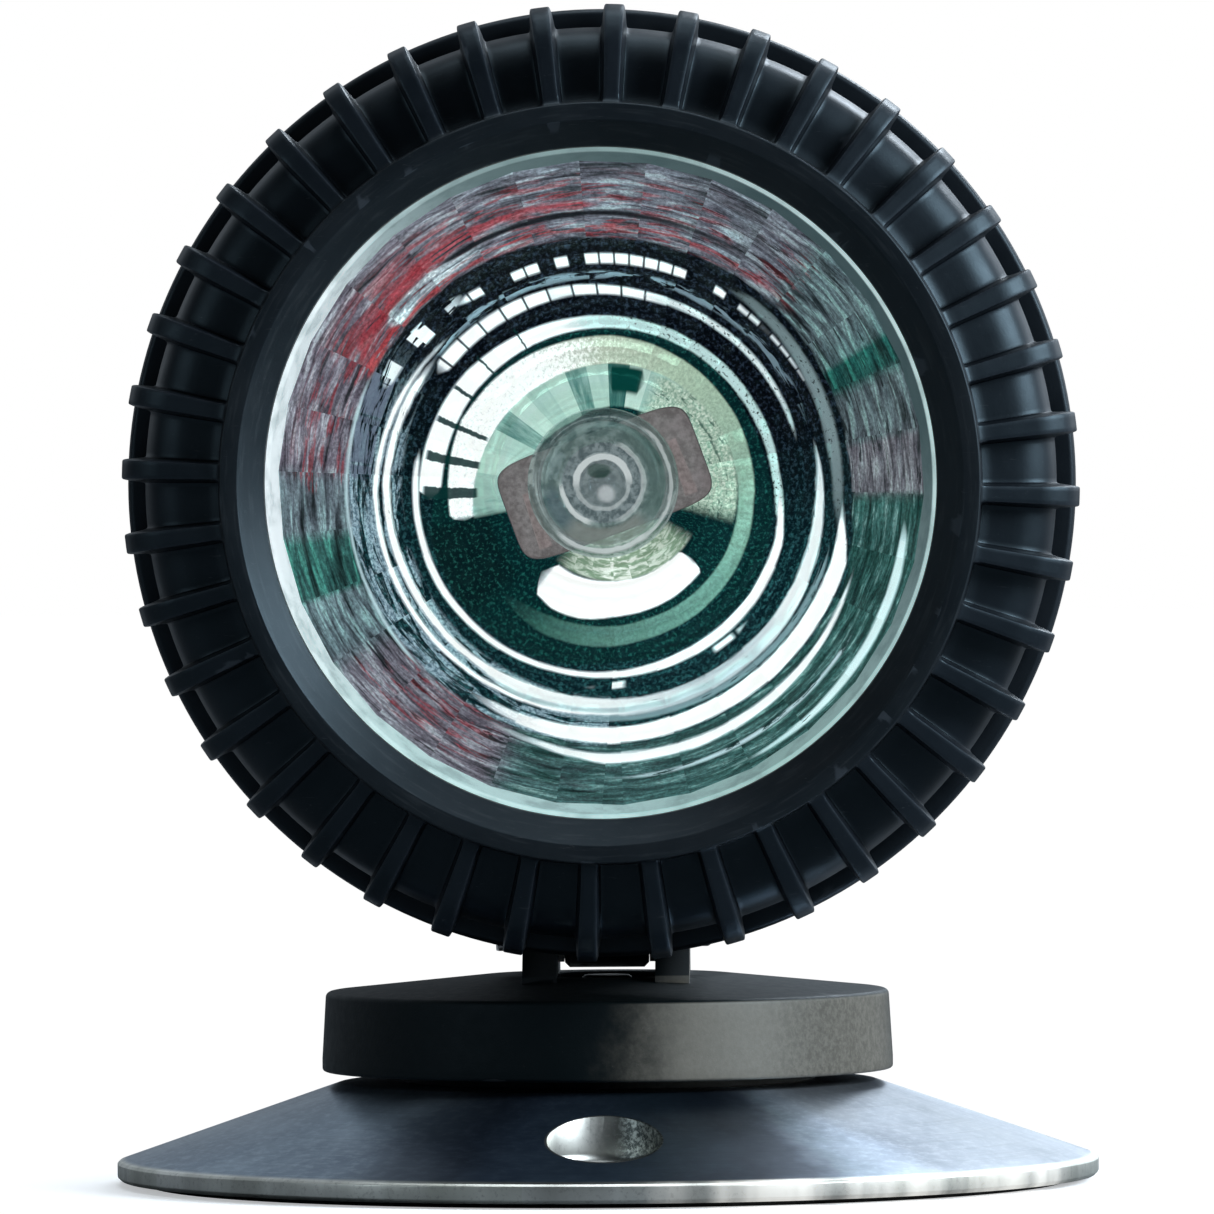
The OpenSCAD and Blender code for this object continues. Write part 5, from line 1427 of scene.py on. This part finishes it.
# ------------------------------------------------------------------ pieces kept from the frame
KEEP = {
    "pan_washer": M_STEEL_OLD, "tilt_washers": M_NYLON, "housing_o_ring": M_RUBBER, "lamp_pins": M_PIN, "rim_cushion": M_SILICONE,
    "lamp_holder": M_CERAMIC, "holder_contacts": M_BRASS, "terminal_screws": M_BRASS, "holder_bracket": M_STEEL, "bracket_screws": M_STEEL,
    "holder_screw": M_STEEL, "lead_wires": M_WIRE, "gland_washer": M_RUBBER, "gland_locknut": M_GLAND, "gland_seal": M_RUBBER, "cable_cores": M_WIRE,
}
for node, mat in KEEP.items():
    me = NODES[node].data
    if len(me.materials) == 0:
        me.materials.append(mat)
    for sl in range(len(me.materials)):
        me.materials[sl] = mat

# ------------------------------------------------------------------ stage, light, camera


def stage_mat():
    g = Mat("stage_white")
    far = g.mr(g.m("SQRT", g.m("ADD", g.m("MULTIPLY", g.x, g.x), g.m("MULTIPLY", g.y, g.y))), 37.0, 47.0)
    pale = g.mix(g.mr(g.noise(0.01, 3), 0.4, 0.7), (0.93, 0.93, 0.93), (0.95, 0.95, 0.95))
    g.set(color=g.mix(far, pale, (0.02, 0.02, 0.02)), rough=0.9, spec=0.0, emit=g.mix(far, (0.42, 0.43, 0.44), (1.0, 1.0, 1.0)), emit_s=1.0)
    lp_ = g.nt.nodes.new("ShaderNodeLightPath")
    df = g.nt.nodes.new("ShaderNodeBsdfDiffuse")
    df.inputs[0].default_value = (0.16, 0.17, 0.18, 1.0)
    mx_ = g.nt.nodes.new("ShaderNodeMixShader")
    g.nt.links.new(lp_.outputs["Is Camera Ray"], mx_.inputs[0])
    g.nt.links.new(df.outputs[0], mx_.inputs[1])
    g.nt.links.new(g.p.outputs[0], mx_.inputs[2])
    g.nt.links.new(mx_.outputs[0], g.out.inputs["Surface"])
    return g.mat


def build_stage():
    V = [(-4.0, -4.0, 0.0), (4.0, -4.0, 0.0), (4.0, 4.0, 0.0), (-4.0, 4.0, 0.0)]
    ob = mesh_obj("stage_floor", V, [(0, 1, 2, 3)], 60)
    ob.data.materials.append(stage_mat())
    return ob


build_stage()

SURR = (0.018, 0.80, 0.32, 0.95, 0.05)
world = bpy.data.worlds.new("world")
bpy.context.scene.world = world
world.use_nodes = True
wn = world.node_tree
wn.nodes.clear()
wo = wn.nodes.new("ShaderNodeOutputWorld")
b1 = wn.nodes.new("ShaderNodeBackground")
b2 = wn.nodes.new("ShaderNodeBackground")
mx = wn.nodes.new("ShaderNodeMixShader")
lp = wn.nodes.new("ShaderNodeLightPath")
wn.links.new(lp.outputs["Is Camera Ray"], mx.inputs[0])
wn.links.new(b1.outputs[0], mx.inputs[1])
wn.links.new(b2.outputs[0], mx.inputs[2])
wn.links.new(mx.outputs[0], wo.inputs[0])
b2.inputs[0].default_value = (1, 1, 1, 1)
b2.inputs[1].default_value = 1.0
b1.inputs[0].default_value = (0.80, 0.90, 1.0, 1)


def wmath(op, a, b=None):
    n = wn.nodes.new("ShaderNodeMath")
    n.operation = op
    for i, v in enumerate((a, b)):
        if isinstance(v, bpy.types.NodeSocket):
            wn.links.new(v, n.inputs[i])
        elif v is not None:
            n.inputs[i].default_value = v
    return n.outputs[0]


def wstep(v, a, b):
    n = wn.nodes.new("ShaderNodeMapRange")
    n.interpolation_type = "SMOOTHSTEP"
    wn.links.new(v, n.inputs[0])
    n.inputs[1].default_value, n.inputs[2].default_value = a, b
    return n.outputs[0]


# soft studio surround: dim in front and on the left, bright behind to the right
tc = wn.nodes.new("ShaderNodeTexCoord")
sx = wn.nodes.new("ShaderNodeSeparateXYZ")
wn.links.new(tc.outputs["Generated"], sx.inputs[0])
dx, dy, dz = sx.outputs
behind = wstep(dy, 0.05, 0.5)
glow = wmath("ADD", SURR[0], wmath("MULTIPLY", wstep(dx, 0.25, 0.95), SURR[1]))
glow = wmath("ADD", glow, wmath("MULTIPLY", wmath("MULTIPLY", behind, wstep(dz, -0.02, 0.12)), wmath("ADD", wmath("MULTIPLY", wstep(dx, -0.04, -0.12), SURR[2]), wmath("ADD", 0.05, wmath("MULTIPLY", wstep(dx, 0.0, 0.12), SURR[3])))))
glow = wmath("ADD", glow, wmath("MULTIPLY", wstep(dz, 0.5, 1.0), SURR[4]))
wn.links.new(glow, b1.inputs[1])


def area(name, loc, target, size, power, color=(1, 1, 1), size_y=None):
    li = bpy.data.lights.new(name, "AREA")
    li.energy = power
    li.color = color
    li.size = size
    if size_y:
        li.shape = "RECTANGLE"
        li.size_y = size_y
    ob = bpy.data.objects.new(name, li)
    ob.location = loc
    d = Vector(target) - Vector(loc)
    ob.rotation_euler = d.to_track_quat("-Z", "Y").to_euler()
    bpy.context.scene.collection.objects.link(ob)
    return ob


area("key_right", (0.85, -0.35, 0.45), (0, 0, 0.05), 0.45, 12.0, (0.82, 0.92, 1.0))
area("low_left", (-0.9, -0.6, 0.35), (0, 0, 0.05), 0.5, 1.2, (0.80, 0.92, 1.0))
area("top", (0.05, 0.05, 1.2), (0, 0, 0.05), 0.8, 5.0, (0.86, 0.94, 1.0))
area("back_right", (0.42, 0.80, 0.70), (0.01, 0, 0.02), 0.35, 5.0, (0.84, 0.92, 1.0))

cam_data = bpy.data.cameras.new("camera")
cam = bpy.data.objects.new("camera", cam_data)
bpy.context.scene.collection.objects.link(cam)
span = 1214 * PX * MM
cam_data.sensor_width = 36.0
cam_data.lens = 36.0 * DIST / span
cam_data.shift_x = (607.0 - 600.0 - CAM_X / PX) / 1214
cam_data.shift_y = (482.0 - 607.0) / 1214
cam_data.clip_end = 20.0
cam.matrix_world = Matrix.Translation((CAM_X * MM, FY - DIST, AX)) @ Matrix.Rotation(math.radians(0.35), 4, "Y") @ Matrix.Rotation(math.radians(90), 4, "X")
bpy.context.scene.camera = cam
bpy.context.scene.view_settings.view_transform = "Standard"
